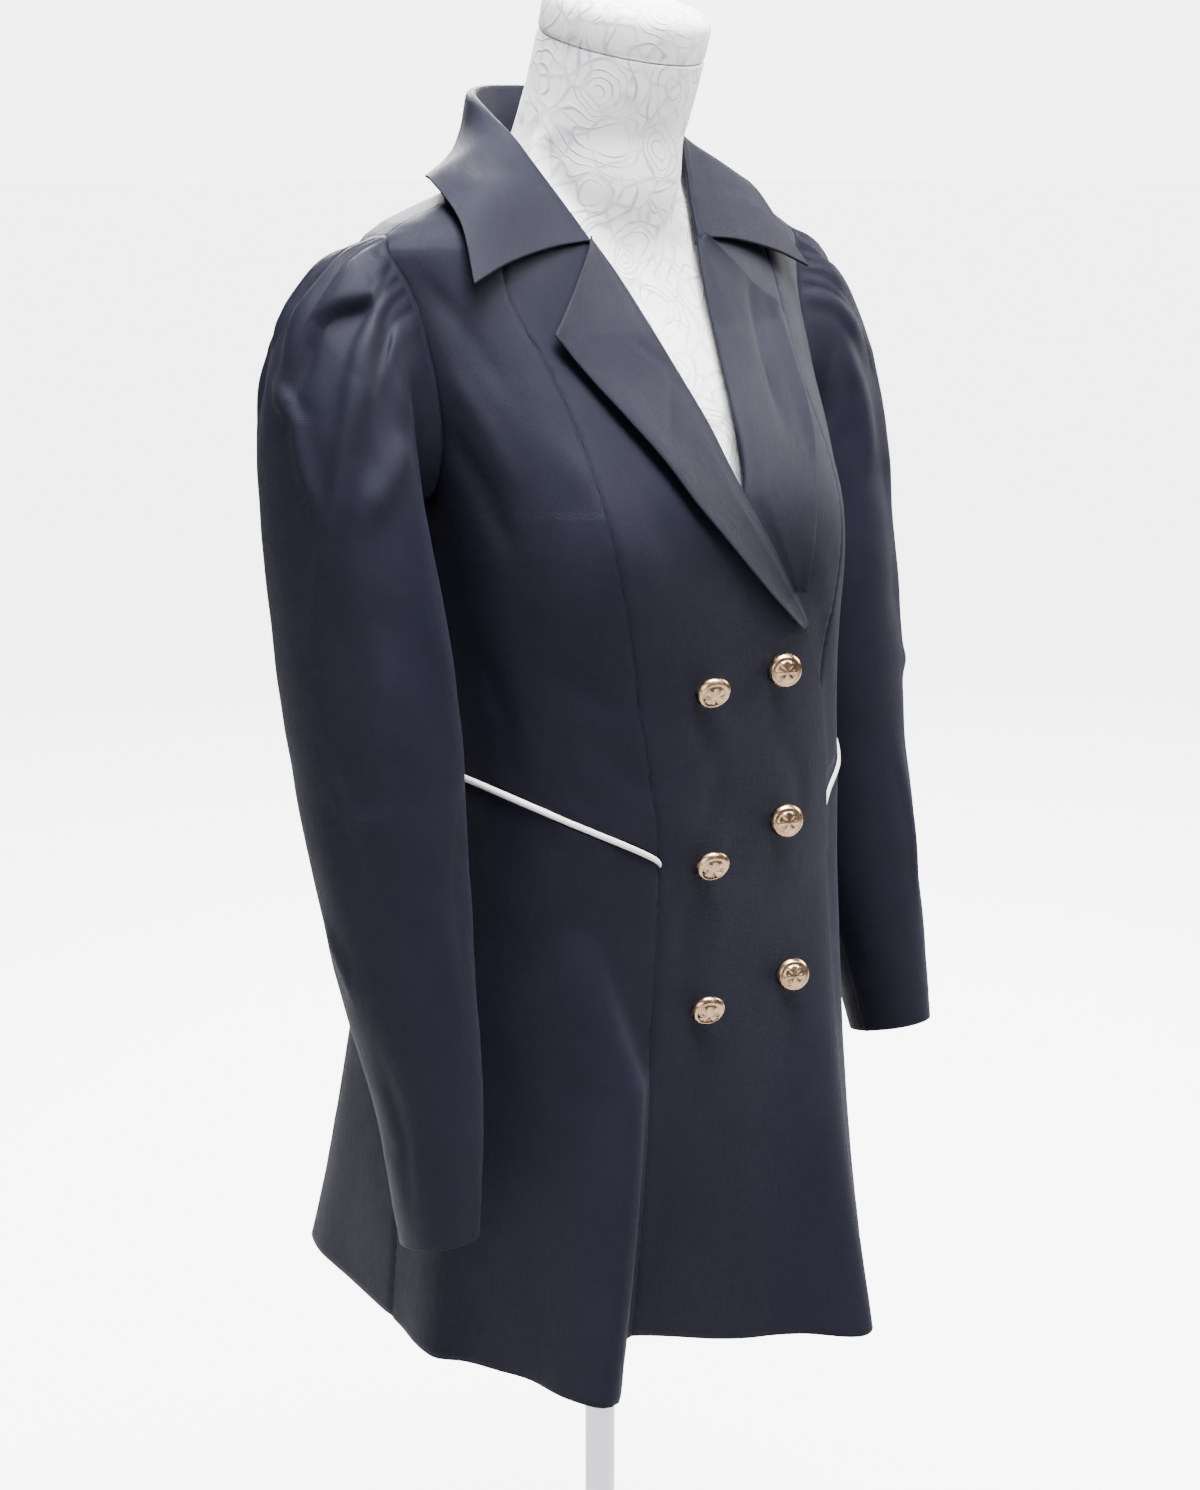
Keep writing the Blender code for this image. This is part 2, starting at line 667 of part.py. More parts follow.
def make_lapel(side):
    """A turned-back lapel, which lies on its front and stands off it towards its free edge."""
    name = "lapel_right" if side == RIGHT else "lapel_left"
    table = LAPEL_EDGE if side == RIGHT else LEFT_LAPEL_EDGE
    rows = [1.097, 1.110, 1.125, 1.155, *ARMHOLE_ROWS[:5]]
    rows += [1.262, LAPEL_TIP, ARMHOLE_ROWS[6], 1.312, ARMHOLE_ROWS[7], LAPEL_TOP]
    rows = [table[0].height, *sorted({height for height in rows if height > table[0].height + 0.003})]
    columns = 5
    outer, inner = [], []
    for height in rows:
        fold = smooth_row(ROLL_LINE, height).across
        edge = lapel_edge(table, height)
        if side == LEFT:
            # the part of the left lapel that lies under the right front's edge is left out
            fold, edge = max(-fold, fold + 0.0012), -edge
        else:
            fold -= 0.0004
        outer_row, inner_row = [], []
        for j in range(columns + 1):
            share = j / columns
            across = fold + (edge - fold) * share
            turn = turn_at_across(jacket_section(height), across)
            normal = jacket_normal(turn, height)
            off = 0.0004 + 0.0012 * smooth_step(share * 4) + 0.0040 * share * share
            place = jacket_point(turn, height) + normal * off
            inner_row.append(place)
            outer_row.append(place + normal * CLOTH)
        if side == RIGHT:
            outer_row.reverse()
            inner_row.reverse()
        outer.append(outer_row)
        inner.append(inner_row)
    closed_wall(name, outer, inner, CLOTH_FINISH)


def lapel_edge(table, height):
    """The lapel's free edge: a belly up to the tip, then the straight notch edge back to the fold."""
    if height <= LAPEL_TIP:
        return smooth_row(table[:-1], height).across
    share = (height - LAPEL_TIP) / (LAPEL_TOP - LAPEL_TIP)
    return table[-2].across + share * (table[-1].across - table[-2].across)


def armhole_point(side, angle):
    """A point of the armhole's edge: 0 degrees at the shoulder tip, 90 in front and 180 under the arm."""
    angle %= 360
    corners = armhole_heights()
    facing = 1 if angle <= 180 else -1
    place = (1 - (angle if angle <= 180 else 360 - angle) / 180) * ARMHOLE_STEPS
    low = min(int(place), ARMHOLE_STEPS - 1)
    share = place - low

    def corner(index):
        height = corners[index]
        return jacket_point(armhole_turn(height, side, facing), height)

    return corner(low).lerp(corner(low + 1), share)


def sleeve_ring_point(ring, side, angle):
    a = math.radians(angle)
    outer = Vector((ring.outer_across, 0, ring.outer_height))
    inner = Vector((ring.inner_across, 0, ring.inner_height))
    middle = (outer + inner) / 2
    offset = (outer - inner) / 2 * math.cos(a) + Vector((0, -ring.breadth * math.sin(a), 0))
    turned = Matrix.Rotation(math.radians(ring.yaw), 3, "Z") @ offset
    turned.z -= turned.y * ring.slope
    place = middle + turned + Vector((0, -ring.forward, 0))
    return Vector((side * place.x, place.y, place.z))


def sleeve_point(side, along, angle):
    """A point of a sleeve's outer face: along is 0 at the armhole and counts the rings down to the cuff."""
    seam = armhole_point(side, angle)
    centre = Vector((seam.x, 0, ARMHOLE_HEIGHT))
    seam += (centre - seam).normalized() * SEAM * 1.5 + Vector((side * SLEEVE_SEAT, 0, 0))
    stops = [seam] + [sleeve_ring_point(ring, side, angle) for ring in SLEEVE_RINGS]
    if side == LEFT:
        stops[-1].z += LEFT_CUFF_RISE
        stops[-2].z += LEFT_CUFF_RISE / 2
        for stop in stops[3:]:
            stop.x -= LEFT_TUCK
    knots = list(range(len(stops)))
    place = Vector([smooth_value(knots, [stop[axis] for stop in stops], along) for axis in range(3)])
    from_top = wrapped(angle)
    if 0 < along < GATHER_END and abs(from_top) < GATHER_SPREAD:
        wave = math.cos(math.pi * GATHERS * from_top / GATHER_SPREAD)
        if along < GATHER_PEAK:
            grow = smooth_step(along / GATHER_PEAK)
        else:
            grow = 1 - smooth_step((along - GATHER_PEAK) / (GATHER_END - GATHER_PEAK))
        edge = smooth_step((GATHER_SPREAD - abs(from_top)) / 20)
        way = (place - Vector((side * 0.20, -0.004, place.z - 0.05))).normalized()
        place += way * GATHER_DEPTH * wave * grow * edge
    return place


def make_sleeve(side):
    """A set-in sleeve gathered at its crown, which hangs empty and swings a little forward."""
    crown = [-GATHER_SPREAD + 2 * GATHER_SPREAD * i / CROWN_COLUMNS for i in range(CROWN_COLUMNS)]
    under_sweep = 360 - 2 * GATHER_SPREAD
    under = [GATHER_SPREAD + under_sweep * i / UNDER_COLUMNS for i in range(UNDER_COLUMNS)]
    angles = crown + under
    stops = [0.0, 0.35, 0.8, 1.2, 1.6, 2.2, 2.8, 3.5, 4.4, 5.4, 6.6, 8.0, 9.3, 10.2, 11.0]
    stops.reverse()
    if side == RIGHT:
        angles.reverse()
    outer, inner = [], []
    for along in stops:
        outer_row, inner_row = [], []
        for angle in angles:
            place = sleeve_point(side, along, angle)
            around = sleeve_point(side, along, angle + 1.5) - sleeve_point(side, along, angle - 1.5)
            above, below = max(along - 0.05, 0), min(along + 0.05, len(SLEEVE_RINGS))
            down = sleeve_point(side, below, angle) - sleeve_point(side, above, angle)
            normal = around.cross(down).normalized() * -side
            outer_row.append(place)
            inner_row.append(place - normal * CLOTH)
        outer.append(outer_row)
        inner.append(inner_row)
    name = "sleeve_right" if side == RIGHT else "sleeve_left"
    closed_wall(name, outer, inner, CLOTH_FINISH, tube=True)


def collar_stations(share):
    """Seam, fold and edge points of the collar. share is 0 at the right front end and 1 at the left one."""
    side = RIGHT if share <= 0.5 else LEFT
    way_round = 1 - abs(2 * share - 1)
    row = smooth_row(COLLAR_HALF, way_round)
    bow = row.bow
    if side == LEFT:
        bow -= LEFT_FLATTER * max(bow, 0) * smooth_step((way_round - 0.03) / 0.15)
    seam = Vector((side * row.seam_out, -row.seam_forward, row.seam_up))
    fold = Vector((side * row.fold_out, -row.fold_forward, row.fold_up))
    edge = Vector((side * row.edge_out, -row.edge_forward, row.edge_up))
    return seam, fold, edge, bow


def collar_profile(share):
    """Points across the collar, from the neck seam up the stand, over the fold and down the fall."""
    seam, fold, edge, bow = collar_stations(share)
    spread = edge - fold
    away = Vector((spread.x, spread.y, 0)).normalized()
    stand_top = fold - Vector((0, 0, FOLD_RADIUS))
    points = [seam, seam.lerp(stand_top, 0.5), stand_top]
    points.append(fold + away * FOLD_RADIUS * 0.35 - Vector((0, 0, FOLD_RADIUS * 0.15)))
    points.append(fold + away * FOLD_RADIUS * 1.5)
    shoulder = fold + away * FOLD_RADIUS * 2.6 + Vector((0, 0, max(bow, 0) * 0.35 - FOLD_RADIUS * 0.8))
    points.append(shoulder)
    lift = Vector((0, 0, bow)) + away * bow * 0.5
    points += [shoulder.lerp(edge, 0.3) + lift * 0.85, shoulder.lerp(edge, 0.65) + lift * 0.9, edge]
    return points


def make_collar():
    """Stand and fall in one wall, folded over along the neck."""
    lattice = []
    for i in range(COLLAR_STATIONS + 1):
        lattice.append(collar_profile(i / COLLAR_STATIONS))
    rows, columns = len(lattice), len(lattice[0])
    outer, inner = [], []
    for j in range(columns):
        outer_row, inner_row = [], []
        for i in range(rows):
            ahead = lattice[min(i + 1, rows - 1)][j] - lattice[max(i - 1, 0)][j]
            over = lattice[i][min(j + 1, columns - 1)] - lattice[i][max(j - 1, 0)]
            normal = ahead.cross(over).normalized()
            outer_row.append(lattice[i][j] + normal * CLOTH / 2)
            inner_row.append(lattice[i][j] - normal * CLOTH / 2)
        outer.append(outer_row)
        inner.append(inner_row)
    closed_wall("collar", outer, inner, CLOTH_FINISH)


def turned_solid(name, profile, segments, finish):
    """A solid of revolution about Z. The profile runs from the top of the axis round to its foot."""
    build = bmesh.new()
    rings = []
    for radius, height in profile:
        if radius == 0:
            rings.append([build.verts.new((0, 0, height))])
            continue
        angles = [2 * math.pi * k / segments for k in range(segments)]
        rings.append([build.verts.new((radius * math.cos(a), radius * math.sin(a), height)) for a in angles])
    for upper, lower in zip(rings, rings[1:]):
        for k in range(segments):
            n = (k + 1) % segments
            left, right = k % len(upper), n % len(upper)
            corners = [upper[left], lower[k % len(lower)], lower[n % len(lower)], upper[right]]
            build.faces.new(list(dict.fromkeys(corners)))
    return add_object(name, build, finish)


def make_buttons():
    """Six domed shank buttons in two columns on the right front. All lean, and one column droops too."""
    rim = BUTTON_SHANK + BUTTON_RIM
    shoulder = BUTTON_SHANK + BUTTON_BACK_RISE
    dome = []
    for i in range(4):
        a = math.pi / 2 * i / 3
        dome.append((BUTTON_RADIUS * math.sin(a), rim + (BUTTON_HEIGHT - rim) * math.cos(a)))
    under = [(BUTTON_RADIUS, shoulder), (BUTTON_BACK_RADIUS, BUTTON_SHANK)]
    post = [(BUTTON_SHANK_RADIUS, BUTTON_SHANK), (BUTTON_SHANK_RADIUS, 0), (0, 0)]
    for row, (height, spread) in enumerate(zip(BUTTON_ROWS, BUTTON_SPREAD)):
        for side in (RIGHT, LEFT):
            name = f"button_{'right' if side == RIGHT else 'left'}_{row + 1}"
            level = height - (0.012 if (row, side) == (1, RIGHT) else 0)
            turn = turn_at_across(jacket_section(level), side * spread + BUTTON_SHIFT)
            normal = jacket_normal(turn, level)
            droop, lean = (BUTTON_DROOP, BUTTON_LEAN) if side == RIGHT else (0, BUTTON_LEAN_LEFT)
            facing = (normal - Vector((lean, 0, droop))).normalized()
            tilt = normal.angle(facing)
            seat = BUTTON_CLEARANCE[row] + BUTTON_RADIUS * math.sin(tilt) - shoulder * math.cos(tilt)
            made = turned_solid(name, [*dome, *under, *post], 12, BUTTON_FINISH)
            made.rotation_mode = "QUATERNION"
            made.rotation_quaternion = facing.to_track_quat("Z", "Y")
            made.location = jacket_point(turn, level) + normal * seat


def form_point(section, angle):
    """A point of the form on a flat oval joined smoothly to the round neck column."""
    a = math.radians(angle)
    way = Vector((1.5 * math.sin(a), -math.cos(a))).normalized()
    depth = section.front if way.y < 0 else section.back
    power = section.squareness
    slab = (abs(way.x / section.half_width) ** power + abs(way.y / depth) ** power) ** (-1 / power)
    reach = (slab**6 + section.neck**6) ** (1 / 6)
    x, y = way.x * reach, way.y * reach
    return Vector((x, y + section.centre, section.height + y * math.tan(math.radians(section.tilt))))


def make_form():
    """A closed torso with capped shoulders and a neck that leans forward."""
    table = [*FORM_BODY, *FORM_SHOULDER, *FORM_NECK]
    heights = [row.height for row in table]
    rows = sorted(set(heights + [1.018, 1.185, 1.235, 1.283, 1.321]))
    build = bmesh.new()
    rings = []
    for height in rows:
        section = table[heights.index(height)] if height in heights else smooth_row(table, height)
        points = [form_point(section, 360 * k / FORM_COLUMNS) for k in range(FORM_COLUMNS)]
        rings.append([build.verts.new(point) for point in points])
    for lower, upper in zip(rings, rings[1:]):
        for k in range(FORM_COLUMNS):
            n = (k + 1) % FORM_COLUMNS
            build.faces.new((lower[k], lower[n], upper[n], upper[k]))
    build.faces.new(list(reversed(rings[0])))
    build.faces.new(rings[-1])
    add_object("form_torso", build, COVER_FINISH)


def make_cap():
    """The rounded block that closes the neck, tilted with it."""
    profile = [
        (0, CAP_THICKNESS),
        (CAP_RADIUS * 0.70, CAP_THICKNESS - 0.001),
        (CAP_RADIUS * 0.92, CAP_THICKNESS - 0.005),
        (CAP_RADIUS, CAP_THICKNESS - 0.012),
        (CAP_RADIUS, 0.004),
        (CAP_RADIUS - 0.003, 0),
        (0, 0),
    ]
    neck = FORM_NECK[-1]
    made = turned_solid("neck_cap", profile, 32, COVER_FINISH)
    made.rotation_euler = (math.radians(neck.tilt), 0, 0)
    up = Vector((0, -math.sin(math.radians(neck.tilt)), math.cos(math.radians(neck.tilt))))
    made.location = Vector((0, neck.centre, neck.height)) + up * SEAM


def make_stand():
    """A flange under the form, the pole, its foot socket and a round weighted base."""
    under = FORM_BODY[0].height - SEAM
    flange_foot = under - FLANGE_THICKNESS
    flange = [(0, under), (FLANGE_RADIUS, under), (FLANGE_RADIUS, flange_foot), (0, flange_foot)]
    turned_solid("flange", flange, 24, STAND_FINISH)
    pole_top = flange_foot - SEAM
    pole_foot = BASE_THICKNESS + SEAM
    pole = [(0, pole_top), (POLE_RADIUS, pole_top), (POLE_RADIUS, pole_foot), (0, pole_foot)]
    turned_solid("pole", pole, 24, STAND_FINISH)
    bore = POLE_RADIUS + SEAM
    foot, top = BASE_THICKNESS + SEAM, BASE_THICKNESS + COLLAR_HEIGHT
    build = bmesh.new()
    corners = [(bore, foot), (COLLAR_RADIUS + 0.006, foot)]
    corners += [(COLLAR_RADIUS, foot + 0.008), (COLLAR_RADIUS, top - 0.002)]
    corners += [(COLLAR_RADIUS - 0.002, top), (bore, top)]
    segments = 24
    rings = []
    for k in range(segments):
        a = 2 * math.pi * k / segments
        rings.append([build.verts.new((r * math.cos(a), r * math.sin(a), h)) for r, h in corners])
    for k in range(segments):
        here, there = rings[k], rings[(k + 1) % segments]
        for i in range(len(corners)):
            j = (i + 1) % len(corners)
            build.faces.new((here[i], there[i], there[j], here[j]))
    add_object("pole_socket", build, STAND_FINISH)
    edge = 0.003
    plate = [(0, BASE_THICKNESS), (BASE_RADIUS - edge, BASE_THICKNESS), (BASE_RADIUS, BASE_THICKNESS - edge)]
    plate += [(BASE_RADIUS, 0), (0, 0)]
    turned_solid("base_plate", plate, 48, STAND_FINISH)


def main():
    remove_everything()
    make_form()
    make_cap()
    make_stand()
    make_fronts()
    make_side_fronts()
    make_backs()
    make_collar()
    make_buttons()
    for side in (RIGHT, LEFT):
        make_piping(side)
        make_lapel(side)
        make_sleeve(side)


main()
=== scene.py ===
import math
from bisect import bisect_right
from functools import lru_cache

import bmesh
import bpy
from mathutils import Matrix, Vector, noise


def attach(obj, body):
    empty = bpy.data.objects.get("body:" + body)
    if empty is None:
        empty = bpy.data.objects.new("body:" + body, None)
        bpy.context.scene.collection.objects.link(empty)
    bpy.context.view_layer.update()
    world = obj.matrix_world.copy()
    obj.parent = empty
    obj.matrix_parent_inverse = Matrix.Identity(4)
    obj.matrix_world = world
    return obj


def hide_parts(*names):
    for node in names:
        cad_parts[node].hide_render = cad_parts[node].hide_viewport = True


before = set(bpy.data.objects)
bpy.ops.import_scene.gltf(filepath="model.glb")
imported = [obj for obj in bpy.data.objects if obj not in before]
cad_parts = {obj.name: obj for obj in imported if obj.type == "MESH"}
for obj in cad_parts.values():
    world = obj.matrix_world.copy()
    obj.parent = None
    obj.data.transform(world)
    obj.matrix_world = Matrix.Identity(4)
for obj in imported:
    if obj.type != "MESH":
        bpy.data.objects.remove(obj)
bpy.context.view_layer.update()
print("frame loaded:", len(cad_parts), "nodes")

right, left = -1, 1  # the wearer's sides, as signs of X

# Level cuts of the jacket: height, half width, front depth, back depth, squareness
bodyCuts = (
    (0.560, 0.209, 0.170, 0.178, 2.2),
    (0.585, 0.205, 0.168, 0.172, 2.2),
    (0.700, 0.196, 0.163, 0.158, 2.2),
    (0.800, 0.185, 0.155, 0.139, 2.5),
    (0.900, 0.170, 0.149, 0.117, 3.0),
    (0.975, 0.163, 0.147, 0.104, 3.2),
    (1.050, 0.163, 0.144, 0.106, 3.1),
    (1.120, 0.166, 0.145, 0.112, 2.7),
    (1.170, 0.171, 0.140, 0.117, 2.4),
    (1.215, 0.178, 0.122, 0.120, 2.3),
    (1.260, 0.186, 0.096, 0.119, 2.2),
    (1.305, 0.192, 0.069, 0.111, 2.1),
    (1.347, 0.196, 0.043, 0.094, 2.1),
    (1.354, 0.181, 0.0375, 0.090, 2.1),
    (1.365, 0.149, 0.0290, 0.085, 2.1),
    (1.3745, 0.120, 0.0215, 0.080, 2.1),
    (1.3835, 0.095, 0.0145, 0.076, 2.1),
    (1.391, 0.077, 0.010, 0.073, 2.1),
)
# Seams as height and distance from the centre plane
princessSeam = (
    (0.560, 0.097), (0.585, 0.096), (0.700, 0.092), (0.820, 0.089), (0.940, 0.082), (1.050, 0.094),
    (1.120, 0.104), (1.170, 0.109), (1.222, 0.112), (1.260, 0.116), (1.310, 0.128), (1.366, 0.121),
    (1.400, 0.121),
)
rollLine = (
    (0.820, 0.0875), (0.960, 0.0875), (1.020, 0.080), (1.060, 0.070), (1.086, 0.060), (1.125, 0.032),
    (1.183, -0.003), (1.232, -0.016), (1.283, -0.030), (1.321, -0.042), (1.347, -0.053), (1.360, -0.057),
    (1.375, -0.064), (1.391, -0.071),
)
# Drape at the hem: turn, across, ahead, and where they aren't the usual ones also drop, height where it
# fades out and power of the fade; the back has the same drape on both sides
usualDrape = (0.000, 0.900, 1.3)
frontDrapes = (
    (-76.6, -0.020, 0.013), (-71, -0.012, 0.018), (-65.7, -0.010, 0.026), (-60, -0.010, 0.036),
    (-52.4, -0.021, 0.053, 0.000, 0.900, 1.2), (-46, -0.024, 0.066, 0.000, 0.900, 1.1),
    (-42.4, -0.017, 0.059, 0.000, 0.900, 1.1), (-35, -0.010, 0.010, 0.000, 0.860, 1.2),
    (-30, -0.006, -0.010, 0.000, 0.840, 1.4), (-24, -0.005, -0.014, 0.000, 0.840, 1.5),
    (-9.5, -0.012, 0.007, 0.007, 0.860, 1.4), (7.9, -0.030, 0.038, 0.013, 0.880, 1.4),
    (23, -0.040, 0.080, 0.018, 0.900, 1.4), (35, -0.042, 0.065, 0.012, 0.900, 1.4),
    (47, -0.030, 0.040, 0.006, 0.900, 1.4), (60, -0.020, 0.016, 0.000, 0.900, 1.4), (75, -0.005, -0.004),
)
backDrapes = (
    (90, 0.003, -0.004), (104, -0.001, -0.016), (118, 0.005, -0.034), (134, 0.012, -0.028),
    (150, 0.000, -0.004), (166, 0.004, -0.024), (180, 0.000, -0.008),
)
mirroredDrapes = [(-turn, -across, ahead) for turn, across, ahead in reversed(backDrapes)]
drapes = [(*row, *usualDrape[len(row) - 3:]) for row in (*mirroredDrapes, *frontDrapes, *backDrapes)]
jacket = {
    "cloth": 0.0016,
    "hem": 0.585,
    "waistSeam": 0.940,
    "sideRise": 0.056,
    "breakPoint": 1.086,
    "shoulderTip": 1.347,
    "neckPoint": 1.391,
    "slantMargin": 0.05,
    "smoothing": (0.008, 1.372, 0.02),  # half span, height where it ends, fade
    "perTurn": 0.0029,  # metres round the body in one degree
    "lapExtra": (0.0085, 0.060),  # more across, span
    "neckCut": (0.013, 1.334, 0.020),  # depth, start, span
    "underlap": (0.0034, 0.042, 0.024),  # depth, reach past the roll line, span
    "hemUnderlap": (0.0030, 0.76, 0.12),  # depth, start, span
    "armholeHeight": 1.262,
    "armholeFront": 0.032,
    "armholeSkew": 0.45,
    "armholeBack": 0.054,
    "bust": (38, 25, 1.150, 0.070, 0.010),  # turn, span, height, drop, rise
    "flute": (-44, 44, 62, 0.92, 1.5),  # turn, span, lean, top, fall towards the top
}
tables = {"body": bodyCuts, "princess": princessSeam, "roll": rollLine, "drape": drapes}


def smoothValue(knots, values, at):
    if at <= knots[0]:
        return values[0]
    if at >= knots[-1]:
        return values[-1]
    low = bisect_right(knots, at) - 1
    high = low + 1

    def slope(index):
        before, after = max(index - 1, 0), min(index + 1, len(knots) - 1)
        return (values[after] - values[before]) / (knots[after] - knots[before])

    gap = knots[high] - knots[low]
    t = (at - knots[low]) / gap
    start = (1 + 2 * t) * (1 - t) ** 2 * values[low] + t * (1 - t) ** 2 * gap * slope(low)
    return start + t * t * (3 - 2 * t) * values[high] + t * t * (t - 1) * gap * slope(high)


@lru_cache(maxsize=None)
def columnsOf(name):
    return list(zip(*tables[name]))


@lru_cache(maxsize=200000)
def rowAt(name, at):
    knots, *columns = columnsOf(name)
    return [smoothValue(knots, column, at) for column in columns]


def evenly(low, high, count):
    return [low + (high - low) * k / count for k in range(1, count + 1)]


def sided(word, side):
    # the names of a piece and of its node on one side
    end = "Right" if side == right else "Left"
    return word + end, f"{word}_{end.lower()}"


def ease(t):
    t = min(max(t, 0.0), 1.0)
    return t * t * (3 - 2 * t)


def wrapped(angle):
    return (angle + 180) % 360 - 180


@lru_cache(maxsize=20000)
def cutAt(height):
    # averaged over a short span below the neck, so that no row of the table shows as a line
    span, end, fade = jacket["smoothing"]
    span *= ease((end - height) / fade)
    rows = [rowAt("body", round(height + step, 6)) for step in (-span, 0, span)]
    return [sum(values) / len(rows) for values in zip(*rows)]


def ringPoint(cut, turn):
    half, front, back, square = cut
    side, ahead = math.sin(math.radians(turn)), math.cos(math.radians(turn))
    depth = front if ahead > 0 else back
    power = 2 / square
    return half * math.copysign(abs(side) ** power, side), -depth * math.copysign(abs(ahead) ** power, ahead)


def planNormal(cut, turn):
    half, front, back, square = cut
    x, y = ringPoint(cut, turn)
    depth = front if y < 0 else back
    across = math.copysign(abs(x / half) ** (square - 1) / half, x)
    along = math.copysign(abs(y / depth) ** (square - 1) / depth, y)
    return Vector((across, along, 0)).normalized()


def turnAtAcross(cut, across):
    share = min(abs(across) / cut[0], 1.0)
    return math.copysign(math.degrees(math.asin(share ** (cut[3] / 2))), across)


def turnAtForward(cut, forward, side):
    depth = cut[1] if forward > 0 else cut[2]
    share = min(abs(forward) / depth, 1.0) ** (cut[3] / 2)
    return side * math.degrees(math.acos(math.copysign(share, forward)))


def fluteLean(height):
    *_, lean, top, fall = jacket["flute"]
    return lean * max(min(height - jacket["hem"], fall * (top - height)), 0)


def bodyPoint(turn, height):
    cut = cutAt(height)
    x, y = ringPoint(cut, turn)
    place = Vector((x, y, height))
    fluteTurn, fluteSpan, *_ = jacket["flute"]
    lean = fluteLean(height)
    away = turn - fluteTurn - lean
    lean *= 1 - ease(abs(away) / (fluteSpan if away < 0 else fluteSpan / 2))
    across, ahead, drop, top, power = rowAt("drape", round(wrapped(turn - lean), 3))
    if height < top:
        share = ((top - height) / (top - jacket["hem"])) ** power
        place += Vector((across, -ahead, -drop)) * share
    bustTurn, bustSpan, bustHeight, bustDrop, bustRise = jacket["bust"]
    if abs(height - bustHeight) < 2.5 * bustDrop:
        outward = planNormal(cut, turn)
        up = (height - bustHeight) / bustDrop
        for side in (right, left):
            away = wrapped(turn - side * bustTurn) / bustSpan
            place += outward * bustRise * math.exp(-away * away - up * up)
    return place


def bodyNormal(turn, height):
    around = bodyPoint(turn + 0.6, height) - bodyPoint(turn - 0.6, height)
    up = bodyPoint(turn, height + 0.006) - bodyPoint(turn, height - 0.006)
    return around.cross(up).normalized()


def princessTurn(height, side):
    return turnAtAcross(cutAt(height), side * rowAt("princess", round(height, 6))[0])


def rollAcross(height):
    return rowAt("roll", round(height, 6))[0]


def edgeAcross(height):
    depth, start, span = jacket["neckCut"]
    across = rollAcross(height) - depth * ease((height - start) / span)
    return max(across, 0.004 - cutAt(height)[0])


def lapAcross(height):
    # the right front laps a little past the left one's share below the break
    more, span = jacket["lapExtra"]
    return edgeAcross(height) + more * ease((jacket["breakPoint"] - height) / span)


def frontEdgeTurn(height, side):
    return turnAtAcross(cutAt(height), -side * (lapAcross(height) if side == right else edgeAcross(height)))


def armholeTurn(height, side, facing):
    rise = jacket["shoulderTip"] - jacket["armholeHeight"]
    share = (height - jacket["armholeHeight"]) / rise
    if abs(share) >= 0.99999:
        return side * 90
    reach = math.sqrt(1 - share * share)
    front = jacket["armholeFront"] * (1 - jacket["armholeSkew"] * share)
    reach *= front if facing == 1 else jacket["armholeBack"]
    return turnAtForward(cutAt(height), facing * reach, side)


def slanted(height, share):
    share = 0.5 * max(share, 0) ** 0.6 + 0.5 * (1 - (1 - share) ** 2)
    hem, waist, margin = jacket["hem"], jacket["waistSeam"], jacket["slantMargin"]
    if height <= waist:
        fade = ease((height - hem - margin) / (waist - hem - margin))
    else:
        fade = 1 - ease((height - waist) / (jacket["breakPoint"] + margin - waist))
    return height + jacket["sideRise"] * share * fade


def underRight(turn, height):
    # the left side steps in where the right front lies over it
    across = ringPoint(cutAt(height), turn)[0]
    (depth, reach, span), (more, start, fade) = jacket["underlap"], jacket["hemUnderlap"]
    depth += more * ease((start - height) / fade)
    return -depth * ease((rollAcross(height) + reach - across) / span)


